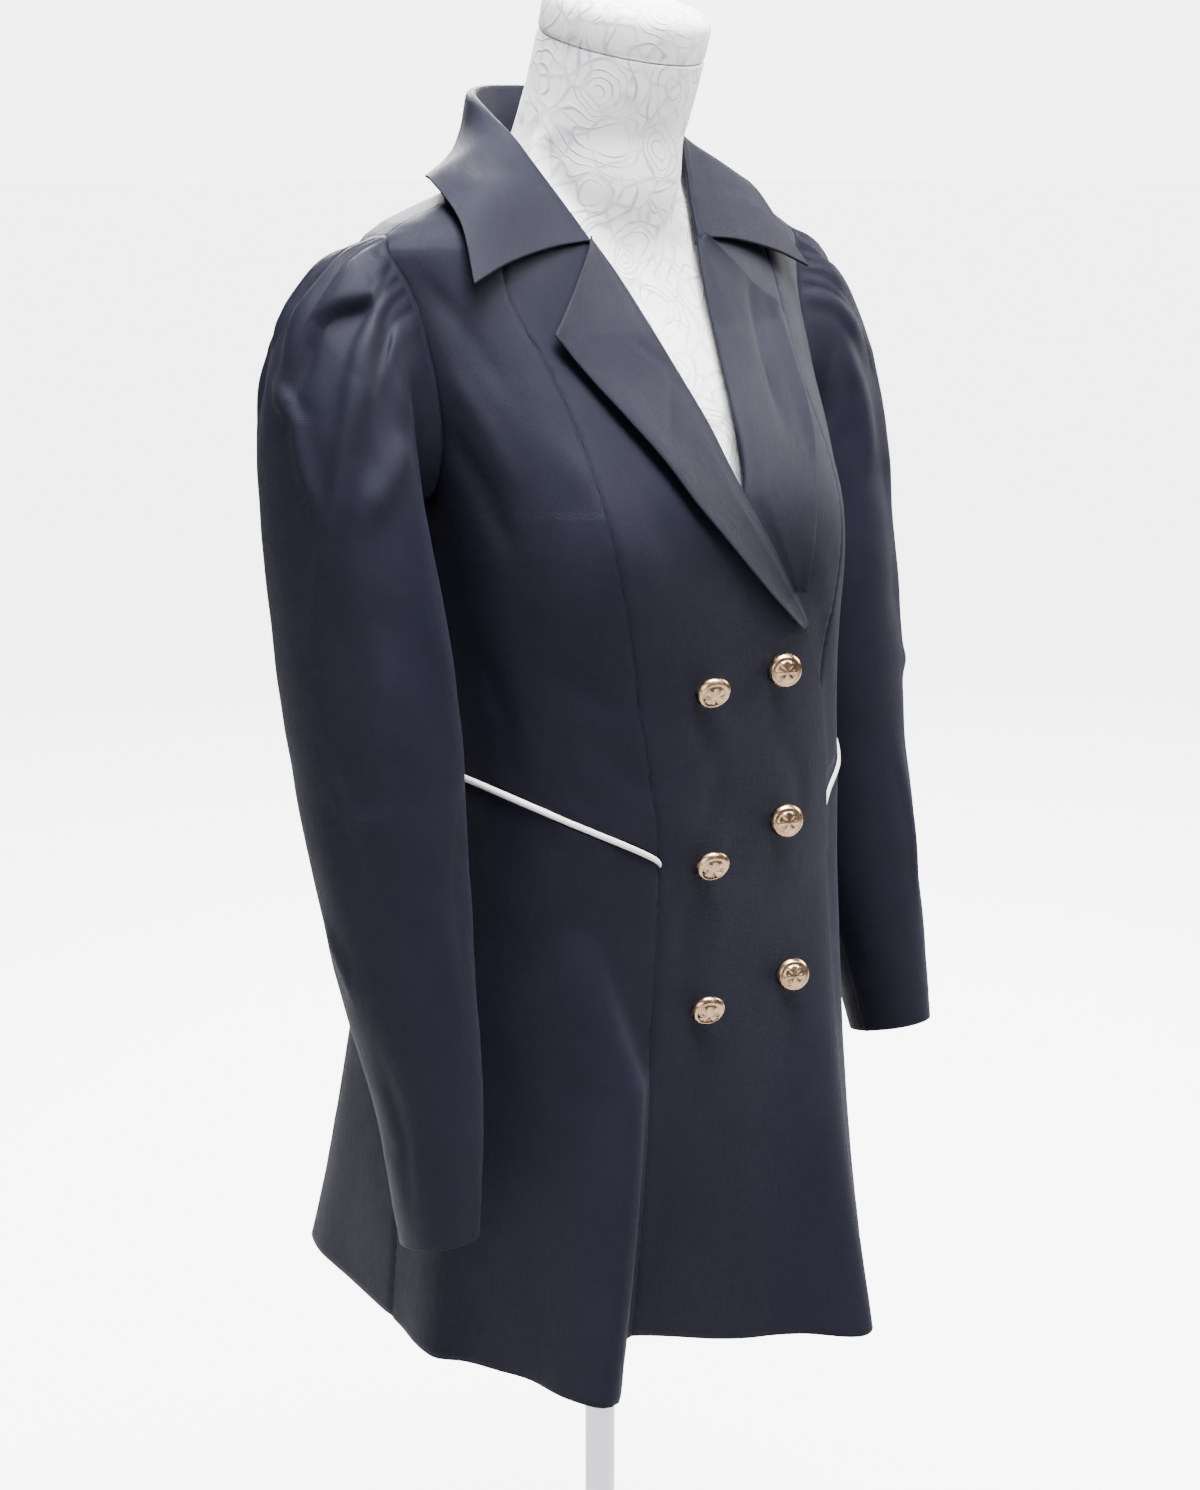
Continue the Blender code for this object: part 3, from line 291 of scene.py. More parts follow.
# Creases: points as (turn or angle, height or ring), depth (minus is a trough), width, and for a pleat its
# edge, which lifts the cloth to the left of the line and drops it to the right
bodyCreases = (
    (((-52, 1.075), (-30, 1.050), (-14, 1.058)), -0.0016, 0.010),
    (((-40, 1.020), (-24, 0.995), (-8, 1.006)), -0.0014, 0.009),
    (((-58, 0.985), (-42, 0.965), (-30, 0.968)), 0.0014, 0.012),
    (((-10, 1.045), (-3, 1.000), (-6, 0.960)), -0.0014, 0.007),
    (((4, 1.010), (10, 0.980), (12, 0.940)), -0.0012, 0.008),
    (((-20, 0.935), (-12, 0.905), (-14, 0.860)), -0.0014, 0.009),
    (((-32, 0.850), (-24, 0.815), (-22, 0.770)), -0.0012, 0.010),
    (((-78, 1.090), (-70, 1.040), (-72, 0.990)), -0.0020, 0.012),
    (((-62, 1.150), (-66, 1.190), (-72, 1.230)), -0.0022, 0.010),
    (((-56, 1.190), (-60, 1.230), (-66, 1.270)), 0.0018, 0.011),
    (((-50, 1.250), (-56, 1.290), (-66, 1.325)), -0.0018, 0.010),
    (((-42, 1.225), (-36, 1.180), (-33, 1.130)), 0.0016, 0.012),
    (((-28, 1.230), (-24, 1.185), (-20, 1.140)), -0.0014, 0.012),
    (((62, 1.150), (66, 1.195), (74, 1.240)), -0.0022, 0.010),
    (((52, 1.190), (58, 1.240), (68, 1.290)), 0.0018, 0.012),
    (((44, 1.230), (46, 1.180), (42, 1.120)), -0.0014, 0.010),
    (((50, 1.020), (60, 1.000), (74, 1.010)), -0.0018, 0.010),
    (((72, 1.090), (70, 1.050), (76, 1.000)), -0.0018, 0.012),
    (((120, 1.060), (145, 1.040), (165, 1.052)), -0.0020, 0.012),
    (((128, 1.010), (150, 0.992), (174, 1.004)), -0.0020, 0.011),
    (((104, 0.985), (120, 0.965), (136, 0.972)), 0.0016, 0.012),
    (((-118, 1.066), (-140, 1.046), (-168, 1.060)), -0.0020, 0.012),
    (((-126, 1.018), (-148, 1.000), (-170, 1.008)), -0.0018, 0.010),
    (((-106, 0.990), (-122, 0.970), (-138, 0.978)), 0.0016, 0.012),
    (((112, 1.180), (124, 1.230), (142, 1.270)), -0.0022, 0.013),
    (((-112, 1.176), (-126, 1.224), (-144, 1.262)), -0.0022, 0.013),
    (((160, 1.300), (172, 1.318), (180, 1.322)), -0.0012, 0.010),
    (((-158, 1.304), (-170, 1.320), (-180, 1.322)), -0.0012, 0.010),
)
rightSleeveCreases = (
    (((38, 0.4), (40, 1.5), (24, 2.4), (16, 2.8), (12, 3.2), (8, 3.8)), -0.0046, 0.0200, 0.0014),
    (((18, 0.5), (10, 1.6), (2, 2.5), (-6, 3.2)), -0.0018, 0.0050),
    (((-4, 0.4), (-10, 1.4), (-18, 2.4), (-24, 3.3)), -0.0026, 0.0150, 0.0014),
    (((44, 1.0), (48, 2.2), (52, 3.1), (44, 4.2), (40, 4.8), (24, 5.8), (16, 6.4)), -0.0052, 0.0070),
    (((60, 1.4), (66, 2.6), (64, 3.6), (56, 4.6)), 0.0034, 0.0110),
    (((-14, 3.6), (12, 4.2), (24, 5.1)), -0.0042, 0.0060),
    (((94, 2.6), (72, 4.1), (54, 4.9)), -0.0036, 0.0070),
    (((-34, 0.6), (-38, 1.9), (-44, 3.0), (-40, 4.0)), -0.0026, 0.0140, 0.0016),
    (((-60, 1.0), (-62, 2.0), (-72, 3.4)), -0.0036, 0.0070),
    (((30, 5.4), (34, 6.4), (24, 7.4), (26, 8.4)), 0.0026, 0.0120),
    (((60, 6.2), (52, 7.2), (58, 8.0)), -0.0024, 0.0090),
    (((10, 7.3), (30, 7.7), (52, 7.6)), -0.0022, 0.0080),
    (((-20, 8.4), (6, 8.9), (34, 8.8)), -0.0022, 0.0080),
    (((100, 7.2), (90, 8.2), (96, 9.2)), -0.0022, 0.0090),
    (((-110, 4.0), (-96, 5.2), (-100, 6.6)), -0.0034, 0.0100),
    (((-140, 6.4), (-120, 7.0), (-96, 6.9)), -0.0028, 0.0090),
    (((20, 9.4), (26, 10.1), (20, 10.7)), 0.0016, 0.0090),
)
leftSleeveCreases = (
    (((30, 0.4), (34, 1.4), (28, 2.4), (34, 3.4)), 0.0036, 0.0170, 0.0014),
    (((12, 0.5), (10, 1.6), (2, 2.6)), 0.0026, 0.0130, 0.0014),
    (((-12, 0.5), (-12, 1.8), (-20, 2.8), (-18, 3.6)), 0.0032, 0.0150, 0.0014),
    (((56, 1.1), (60, 2.3), (52, 3.5), (58, 4.9), (52, 5.9)), -0.0046, 0.0075),
    (((84, 1.8), (78, 3.2), (84, 4.6)), -0.0034, 0.0080),
    (((-40, 0.9), (-36, 2.2), (-44, 3.4)), -0.0040, 0.0070),
    (((-64, 1.1), (-70, 2.6), (-60, 3.8)), -0.0034, 0.0080),
    (((72, 4.8), (66, 6.0), (70, 7.0)), 0.0012, 0.0120),
    (((40, 5.6), (50, 6.6), (44, 7.8)), -0.0026, 0.0090),
    (((20, 7.0), (42, 7.5), (66, 7.3)), -0.0026, 0.0080),
    (((-100, 4.4), (-90, 5.6), (-100, 6.8)), -0.0034, 0.0100),
    (((90, 8.0), (80, 8.9), (88, 9.8)), -0.0022, 0.0090),
)


def measured(crease, toMetres):
    points, depth, width, *edge = crease
    flat = [toMetres(*point) for point in points]
    lengths = [0.0]
    for a, b in zip(flat, flat[1:]):
        lengths.append(lengths[-1] + math.dist(a, b))
    reach = 3 * width
    low = (min(p[0] for p in flat) - reach, min(p[1] for p in flat) - reach)
    high = (max(p[0] for p in flat) + reach, max(p[1] for p in flat) + reach)
    return flat, lengths, depth, width, edge[0] if edge else 0, low, high


def creaseAt(creases, s, t):
    total = 0.0
    for flat, lengths, depth, width, edge, low, high in creases:
        if not (low[0] < s < high[0] and low[1] < t < high[1]):
            continue
        best, place, turned = 9.0, 0.0, 1.0
        for k, (a, b) in enumerate(zip(flat, flat[1:])):
            dx, dy = b[0] - a[0], b[1] - a[1]
            span = dx * dx + dy * dy
            share = min(max(((s - a[0]) * dx + (t - a[1]) * dy) / span, 0), 1)
            away = math.hypot(s - a[0] - share * dx, t - a[1] - share * dy)
            if away < best:
                best, place = away, (lengths[k] + share * math.sqrt(span)) / lengths[-1]
                turned = dx * (t - a[1]) - dy * (s - a[0])
        taper = ease(min(place + 0.12, 1.12 - place) / 0.40)
        shape = math.exp(-((best / width) ** 2))
        if edge:
            shape *= math.tanh(math.copysign(best, turned) / edge)
        total += depth * taper * shape
    return total


def bodyMetres(turn, height):
    return turn * jacket["perTurn"], height


bodyFolds = [measured(crease, bodyMetres) for crease in bodyCreases]


def softNoise(place, scale, amount):
    return amount * noise.noise(place * scale)


# Makers that the pieces share
def clothPiece(name, rows, material, wall=None, tube=False, flip=False, offset=-1):
    # rows is a lattice of points; a grid of the same size is moved onto it, and its cut lies in the "cut" map
    build = bmesh.new()
    countAcross = len(rows[0])
    spans = countAcross if tube else countAcross - 1
    bmesh.ops.create_grid(build, x_segments=spans, y_segments=len(rows) - 1, size=1)
    where = {}
    for corner in build.verts:
        j = round((corner.co.x + 1) / 2 * spans)
        i = round((corner.co.y + 1) / 2 * (len(rows) - 1))
        where[corner] = (i, j)
        corner.co = rows[i][j % countAcross]
    cutMap = build.loops.layers.uv.new("cut")
    across = [[0.0] for _ in rows]
    for i, row in enumerate(rows):
        for j in range(spans):
            across[i].append(across[i][-1] + (row[(j + 1) % countAcross] - row[j]).length)
    up = [0.0]
    middle = countAcross // 2
    for i in range(1, len(rows)):
        up.append(up[-1] + (rows[i][middle] - rows[i - 1][middle]).length)
    for face in build.faces:
        for loop in face.loops:
            i, j = where[loop.vert]
            loop[cutMap].uv = (across[i][j] - across[i][-1] / 2, up[i])
    if tube:
        bmesh.ops.remove_doubles(build, verts=build.verts, dist=1e-6)
    if flip:
        bmesh.ops.reverse_faces(build, faces=build.faces)
    piece = finished(name, build, material)
    if wall:
        thickness = piece.modifiers.new("wall", "SOLIDIFY")
        thickness.thickness = wall
        thickness.offset = offset
    return piece


def finished(name, build, material, smooth=True):
    mesh = bpy.data.meshes.new(name)
    build.to_mesh(mesh)
    build.free()
    mesh.materials.append(material)
    if smooth:
        mesh.shade_smooth()
    piece = bpy.data.objects.new(name, mesh)
    bpy.context.scene.collection.objects.link(piece)
    return piece


def place(piece, slot, *nodes):
    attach(piece, "root")
    if nodes:
        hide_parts(*nodes)
    return piece


def sharesFor(width, step, edgeSteps=(0.0, 0.0007, 0.0016, 0.0030, 0.0052)):
    # shares across a panel, crowded at both edges where the seams turn in
    first = [edge / width for edge in edgeSteps]
    last = [1 - share for share in reversed(first)]
    count = max(int((width - 2 * edgeSteps[-1]) / step), 2)
    inner = [first[-1] + (last[0] - first[-1]) * k / count for k in range(1, count)]
    return [*first, *inner, *last]


def seamDip(distance, depth=0.0011, width=0.0021):
    return -depth * math.exp(-((distance / width) ** 2))


# Shader groups that several finishes share
def nodeGroup(name, inputs, outputs):
    group = bpy.data.node_groups.new(name, "ShaderNodeTree")
    for label, kind, value in inputs:
        socket = group.interface.new_socket(name=label, in_out="INPUT", socket_type=kind)
        socket.default_value = value
    for label, kind in outputs:
        group.interface.new_socket(name=label, in_out="OUTPUT", socket_type=kind)
    return group, group.nodes.new("NodeGroupInput"), group.nodes.new("NodeGroupOutput")


def addNode(tree, kind, inputs=(), **settings):
    made = tree.nodes.new(kind)
    for key, value in settings.items():
        setattr(made, key, value)
    for key, value in dict(inputs).items():
        if isinstance(value, bpy.types.NodeSocket):
            tree.links.new(value, made.inputs[key])
        else:
            made.inputs[key].default_value = value
    return made


def mathNode(tree, operation, a, b=0.5, clamp=False):
    return addNode(tree, "ShaderNodeMath", {0: a, 1: b}, operation=operation, use_clamp=clamp).outputs[0]


def noiseNode(tree, vector, scale, detail, roughness=0.5):
    inputs = {"Vector": vector, "Scale": scale, "Detail": detail, "Roughness": roughness}
    return addNode(tree, "ShaderNodeTexNoise", inputs).outputs


def cellNode(tree, vector, scale, feature):
    inputs = {"Vector": vector, "Scale": scale}
    return addNode(tree, "ShaderNodeTexVoronoi", inputs, feature=feature).outputs["Distance"]


def stretched(tree, vector, scales):
    return addNode(tree, "ShaderNodeVectorMath", {0: vector, 1: scales}, operation="MULTIPLY").outputs[0]


# Waves per thread, shift from thread to thread, and the scales of the slubs and the mottle
weaveLook = {
    "warpWave": 6.2832, "floatWave": 1.2566, "step": 0.4, "slubs": (900, 60, 900), "mottle": (22, 14, 22),
}


def weaveGroup():
    # satin floats run along the cut, one thread over several, with slubs of uneven thickness
    group, given, result = nodeGroup(
        "satinWeave",
        [("Vector", "NodeSocketVector", (0, 0, 0)), ("Threads per metre", "NodeSocketFloat", 2600.0),
         ("Slub", "NodeSocketFloat", 0.35)],
        [("Height", "NodeSocketFloat"), ("Slubs", "NodeSocketFloat"), ("Mottle", "NodeSocketFloat")],
    )
    vector, threads = given.outputs["Vector"], given.outputs["Threads per metre"]
    parts = addNode(group, "ShaderNodeSeparateXYZ", {0: vector})
    across = mathNode(group, "MULTIPLY", parts.outputs[0], threads)
    along = mathNode(group, "MULTIPLY", parts.outputs[1], threads)
    warp = mathNode(group, "SINE", mathNode(group, "MULTIPLY", across, weaveLook["warpWave"]))
    step = mathNode(group, "MULTIPLY", mathNode(group, "FLOOR", across, 0), weaveLook["step"])
    shifted = mathNode(group, "ADD", along, step)
    floats = mathNode(group, "SINE", mathNode(group, "MULTIPLY", shifted, weaveLook["floatWave"]))
    warp, floats = mathNode(group, "MULTIPLY", warp, 0.6), mathNode(group, "MULTIPLY", floats, 0.4)
    cloth = mathNode(group, "ADD", warp, floats)
    slubs = noiseNode(group, stretched(group, vector, weaveLook["slubs"]), 1.0, 3.0)
    mottle = noiseNode(group, stretched(group, vector, weaveLook["mottle"]), 1.0, 5.0, 0.6)
    uneven = mathNode(group, "MULTIPLY", slubs["Fac"], given.outputs["Slub"])
    height = mathNode(group, "ADD", mathNode(group, "MULTIPLY", cloth, 0.5), uneven)
    group.links.new(height, result.inputs["Height"])
    group.links.new(slubs["Fac"], result.inputs["Slubs"])
    group.links.new(mottle["Fac"], result.inputs["Mottle"])
    return group


def speckGroup():
    # fine marks and smudges, read on the object's own coordinates
    group, given, result = nodeGroup(
        "surfaceMarks",
        [("Vector", "NodeSocketVector", (0, 0, 0)), ("Scale", "NodeSocketFloat", 60.0)],
        [("Marks", "NodeSocketFloat"), ("Grain", "NodeSocketFloat")],
    )
    vector, scale = given.outputs["Vector"], given.outputs["Scale"]
    broad = noiseNode(group, vector, scale, 6.0)
    fine = noiseNode(group, vector, mathNode(group, "MULTIPLY", scale, 14.0), 2.0)
    group.links.new(broad["Fac"], result.inputs["Marks"])
    group.links.new(fine["Fac"], result.inputs["Grain"])
    return group


satinWeave = weaveGroup()
surfaceMarks = speckGroup()


def newFinish(name, colour, roughness, metallic=0.0, **sockets):
    made = bpy.data.materials.new(name)
    made.use_nodes = True
    shader = made.node_tree.nodes["Principled BSDF"]
    shader.inputs["Base Color"].default_value = (*colour, 1)
    shader.inputs["Roughness"].default_value = roughness
    shader.inputs["Metallic"].default_value = metallic
    for label, value in sockets.items():
        shader.inputs[label.replace("_", " ")].default_value = value
    return made, made.node_tree, shader


def groupIn(tree, group, **inputs):
    made = tree.nodes.new("ShaderNodeGroup")
    made.node_tree = group
    for label, value in inputs.items():
        socket = made.inputs[label.replace("_", " ")]
        if isinstance(value, bpy.types.NodeSocket):
            tree.links.new(value, socket)
        else:
            socket.default_value = value
    return made


def mixColours(tree, share, dark, light):
    made = addNode(tree, "ShaderNodeMix", data_type="RGBA")
    tree.links.new(share, made.inputs[0])
    made.inputs[6].default_value = (*dark, 1)
    made.inputs[7].default_value = (*light, 1)
    return made.outputs[2]


def spread(tree, value, low, high, newLow, newHigh):
    return addNode(tree, "ShaderNodeMapRange", {0: value, 1: low, 2: high, 3: newLow, 4: newHigh}).outputs[0]


def weaveOn(tree, **inputs):
    cutMap = addNode(tree, "ShaderNodeUVMap", uv_map="cut")
    return groupIn(tree, satinWeave, Vector=cutMap.outputs[0], **inputs).outputs


def marksOn(tree, scale):
    where = addNode(tree, "ShaderNodeTexCoord")
    return groupIn(tree, surfaceMarks, Vector=where.outputs["Object"], Scale=scale).outputs


def bumped(tree, shader, height, strength, distance):
    bump = addNode(tree, "ShaderNodeBump", {"Strength": strength, "Distance": distance, "Height": height})
    tree.links.new(bump.outputs[0], shader.inputs["Normal"])


def sateenFinish():
    made, tree, shader = newFinish(
        "navySateen", (0.0042, 0.0044, 0.0088), 0.5,
        Specular_IOR_Level=0.13, Specular_Tint=(0.84, 0.86, 1.0, 1.0), Sheen_Weight=0.015,
        Sheen_Roughness=0.35, Anisotropic=0.2,
    )
    shader.inputs["Sheen Tint"].default_value = (0.62, 0.62, 0.86, 1)
    weave = weaveOn(tree)
    patches = spread(tree, weave["Mottle"], 0.3, 0.7, 0, 1)
    tone = mixColours(tree, patches, (0.0028, 0.0029, 0.0066), (0.0044, 0.0043, 0.0088))
    tree.links.new(tone, shader.inputs["Base Color"])
    tree.links.new(spread(tree, weave["Slubs"], 0.3, 0.7, 0.56, 0.68), shader.inputs["Roughness"])
    bumped(tree, shader, weave["Height"], 0.6, 0.00012)
    return made


def pipingFinish():
    made, tree, shader = newFinish(
        "whitePiping", (0.74, 0.69, 0.69), 0.45, Sheen_Weight=0.25, Sheen_Roughness=0.4,
    )
    weave = weaveOn(tree, Threads_per_metre=2200.0, Slub=0.5)
    tone = mixColours(tree, weave["Mottle"], (0.46, 0.42, 0.43), (0.60, 0.57, 0.58))
    tree.links.new(tone, shader.inputs["Base Color"])
    bumped(tree, shader, weave["Height"], 0.3, 0.00008)
    return made


def goldFinish():
    made, tree, shader = newFinish("goldButton", (0.40, 0.24, 0.12), 0.24, 1.0)
    marks = marksOn(tree, 180.0)
    tone = mixColours(tree, marks["Marks"], (0.14, 0.07, 0.03), (0.60, 0.42, 0.26))
    tree.links.new(tone, shader.inputs["Base Color"])
    tree.links.new(spread(tree, marks["Marks"], 0.3, 0.7, 0.16, 0.34), shader.inputs["Roughness"])
    bumped(tree, shader, marks["Grain"], 0.12, 0.00005)
    return made


def coverFinish():
    # a woven cover with faint curling petal lines in a raised grey thread
    made, tree, shader = newFinish(
        "formCover", (0.66, 0.66, 0.66), 0.75, Sheen_Weight=0.15, Sheen_Roughness=0.5,
    )
    where = addNode(tree, "ShaderNodeTexCoord").outputs["Object"]
    bend = noiseNode(tree, where, 22.0, 2.0)
    push = stretched(tree, bend["Color"], (0.022, 0.022, 0.022))
    bent = addNode(tree, "ShaderNodeVectorMath", {0: where, 1: push}, operation="ADD").outputs[0]
    petals = cellNode(tree, bent, 24.0, "SMOOTH_F1")
    rings = mathNode(tree, "SINE", mathNode(tree, "MULTIPLY", petals, 34.0))
    lines = spread(tree, mathNode(tree, "ABSOLUTE", rings), 0.0, 0.52, 1.0, 0.0)
    veins = spread(tree, cellNode(tree, bent, 46.0, "DISTANCE_TO_EDGE"), 0.0, 0.09, 0.7, 0.0)
    marks = marksOn(tree, 70.0)
    worn = spread(tree, marks["Marks"], 0.38, 0.6, 0.25, 1.0)
    drawn = mathNode(tree, "MULTIPLY", mathNode(tree, "MAXIMUM", lines, veins), worn)
    tone = mixColours(tree, drawn, (0.67, 0.67, 0.67), (0.30, 0.30, 0.32))
    tree.links.new(tone, shader.inputs["Base Color"])
    height = mathNode(tree, "ADD", drawn, mathNode(tree, "MULTIPLY", marks["Grain"], 0.3))
    bumped(tree, shader, height, 0.6, 0.0008)
    return made


def standFinish():
    made, tree, shader = newFinish("standPaint", (0.78, 0.78, 0.80), 0.38, Coat_Weight=0.2)
    marks = marksOn(tree, 40.0)
    tone = mixColours(tree, marks["Marks"], (0.72, 0.72, 0.74), (0.84, 0.84, 0.86))
    tree.links.new(tone, shader.inputs["Base Color"])
    tree.links.new(spread(tree, marks["Marks"], 0.3, 0.7, 0.32, 0.46), shader.inputs["Roughness"])
    bumped(tree, shader, marks["Grain"], 0.1, 0.0002)
    return made


sateen = sateenFinish()
pipingCloth = pipingFinish()
gold = goldFinish()
coverCloth = coverFinish()
standPaint = standFinish()
print("finishes made")


# Panels of the body, between two seams given as turns at each height
panelCuts = {
    # piece: node, first turn and last turn at a height
    "frontRight": ("front_right", lambda z: princessTurn(z, right), lambda z: frontEdgeTurn(z, right)),
    "frontLeft": ("front_left", lambda z: frontEdgeTurn(z, left), lambda z: princessTurn(z, left)),
    "sideFrontRight": (
        "side_front_right", lambda z: armholeTurn(z, right, 1), lambda z: princessTurn(z, right),
    ),
    "sideFrontLeft": ("side_front_left", lambda z: princessTurn(z, left), lambda z: armholeTurn(z, left, 1)),
    "skirtRight": ("skirt_right", lambda z: -90, lambda z: princessTurn(z, right)),
    "skirtLeft": ("skirt_left", lambda z: princessTurn(z, left), lambda z: 90),
    "backRight": ("back_right", lambda z: -180, lambda z: armholeTurn(z, right, -1)),
    "backLeft": ("back_left", lambda z: armholeTurn(z, left, -1), lambda z: 180),
}
panelLook = {
    "step": 0.0046, "rowStep": 0.0050, "wall": 0.0013, "pucker": 0.00035, "puckerReach": 0.008,
    "mottle": 0.0006, "shoulder": 1.340, "shoulderStep": 0.0016, "chest": 1.16,
}


def rowHeights(low, high, step):
    # closer rows over the shoulder, where the surface turns away quickly
    shoulder = panelLook["shoulder"]
    level = min(high, shoulder)
    heights = [low, *evenly(low, level, max(int((level - low) / step), 3))]
    if high > shoulder:
        heights += evenly(shoulder, high, max(int((high - shoulder) / panelLook["shoulderStep"]), 2))
    return heights


def seamAndPucker(distance, wave):
    ripple = panelLook["pucker"] * math.exp(-distance / panelLook["puckerReach"]) * math.sin(wave)
    return seamDip(distance) + ripple


def bodyPanel(name, low, high, slant=None, lift=None, freeFirst=False, freeLast=False, piped=False, crowd=0):
    node, firstTurn, lastTurn = panelCuts[name]
    perTurn = jacket["perTurn"]
    levels = (low + 0.01, jacket["waistSeam"], min(high, panelLook["chest"]))
    width = max(abs(lastTurn(level) - firstTurn(level)) * perTurn for level in levels)
    shares = sharesFor(width, panelLook["step"])
    rows = []
    for height in rowHeights(low, high, panelLook["rowStep"]):
        row = []
        for share in shares:
            level = slanted(height, slant(share)) if slant else height
            start, stop = firstTurn(level), lastTurn(level)
            turn = start + (stop - start) * share
            if crowd:
                turn = min(turn + crowd * fluteLean(level) * ease(2 * min(share, 1 - share)), stop)
            span = max(abs(stop - start) * perTurn, 0.004)
            spot = bodyPoint(turn, level)
            off = creaseAt(bodyFolds, *bodyMetres(turn, level))
            if not freeFirst:
                off += seamAndPucker(share * span, level * 520 + turn)
            if not freeLast:
                off += seamAndPucker((1 - share) * span, level * 470 + turn * 2)
            if piped:
                off += seamDip(height - jacket["waistSeam"], 0.0012, 0.0030)
            off += softNoise(spot, 14, panelLook["mottle"]) + softNoise(spot, 42, panelLook["mottle"] * 0.4)
            if lift:
                off += lift(turn, level)
            row.append(spot + planNormal(cutAt(level), turn) * off)
        rows.append(row)
    return place(clothPiece(name, rows, sateen, wall=panelLook["wall"]), "navy_sateen", node)


def jacketBody():
    hem, waist, top = jacket["hem"], jacket["waistSeam"], jacket["neckPoint"] - 0.002
    towardsRight, towardsLeft = (lambda share: 1 - share), (lambda share: share)
    return [
        bodyPanel("frontRight", hem, top, freeLast=True),
        bodyPanel("frontLeft", hem, top, lift=underRight, freeFirst=True),
        bodyPanel("sideFrontRight", waist, 1.370, slant=towardsRight, piped=True, crowd=0.5),
        bodyPanel("sideFrontLeft", waist, 1.370, slant=towardsLeft, lift=underRight, piped=True),
        bodyPanel("skirtRight", hem, waist, slant=towardsRight, piped=True, crowd=0.5),
        bodyPanel("skirtLeft", hem, waist, slant=towardsLeft, lift=underRight, piped=True),
        bodyPanel("backRight", hem, top, slant=towardsLeft),
        bodyPanel("backLeft", hem, top, slant=towardsRight),
    ]


def pipingStrip(side):
    look = {"width": 0.0046, "proud": 0.0022, "gap": 0.0002, "steps": 90, "round": 10}
    rows = []
    for k in range(look["round"] + 1):
        a = math.pi * k / look["round"]
        row = []
        for j in range(look["steps"] + 1):
            share = j / look["steps"]
            seam = slanted(jacket["waistSeam"], share)
            inner = princessTurn(seam, side)
            if side == left:
                inner = max(inner, turnAtAcross(cutAt(seam), lapAcross(seam) + 0.003))
            turn = inner + (side * 90 - inner) * share
            level = seam - math.cos(a) * look["width"] / 2
            off = look["gap"] + look["proud"] * math.sin(a) ** 0.7
            off += underRight(turn, level) if side == left else 0
            row.append(bodyPoint(turn, level) + planNormal(cutAt(level), turn) * off)
        rows.append(row)
    name, node = sided("piping", side)
    return place(clothPiece(name, rows, pipingCloth, flip=side == right), "white_piping", node)


# Free edge of each lapel: height and distance from the centre plane; the last row is the notch at the collar
lapelEdges = {
    right: (
        (1.082, 0.050), (1.119, 0.006), (1.172, -0.046), (1.208, -0.068), (1.247, -0.091), (1.284, -0.111),
        (1.343, -0.054),
    ),
    left: (
        (1.108, -0.050), (1.125, -0.055), (1.172, -0.068), (1.208, -0.081), (1.247, -0.096), (1.284, -0.111),
        (1.343, -0.054),
    ),
}
tables["lapelRight"], tables["lapelLeft"] = lapelEdges[right][:-1], lapelEdges[left][:-1]
lapelLook = {
    "roll": 0.0017, "rollSteps": 6, "lift": 0.0012, "standOff": 0.0042, "columns": 26, "wall": 0.0012,
    "rowsToTip": 58, "rowsToNotch": 18, "seat": 0.0004, "edgeSink": 0.0008, "edgeReach": 0.0010,
}
lapelCreases = {
    right: (
        (((-6, 1.262), (-9, 1.248), (-13, 1.224), (-16, 1.208)), -0.0016, 0.0036),
        (((-14, 1.280), (-11, 1.270), (-7, 1.264)), -0.0012, 0.0034),
        (((-26, 1.262), (-20, 1.222), (-12, 1.186)), 0.0012, 0.0100),
        (((-30, 1.300), (-34, 1.280), (-36, 1.262)), 0.0014, 0.0080),
    ),
    left: (
        (((34, 1.340), (30, 1.290), (27, 1.240), (22, 1.180)), 0.0034, 0.0060),
        (((40, 1.340), (38, 1.300), (36, 1.262), (30, 1.212)), -0.0034, 0.0052),
        (((46, 1.334), (47, 1.300), (44, 1.262)), 0.0028, 0.0055),
        (((25, 1.316), (19, 1.262), (15, 1.214)), -0.0028, 0.0052),
        (((26, 1.200), (20, 1.165), (14, 1.140)), -0.0014, 0.0080),
    ),
}


def lapelAcross(side, height):
    edges = lapelEdges[side]
    tip, notch = edges[-2], edges[-1]
    if height <= tip[0]:
        return rowAt(sided("lapel", side)[0], round(height, 6))[0]
    share = (height - tip[0]) / (notch[0] - tip[0])
    return tip[1] + share * (notch[1] - tip[1])


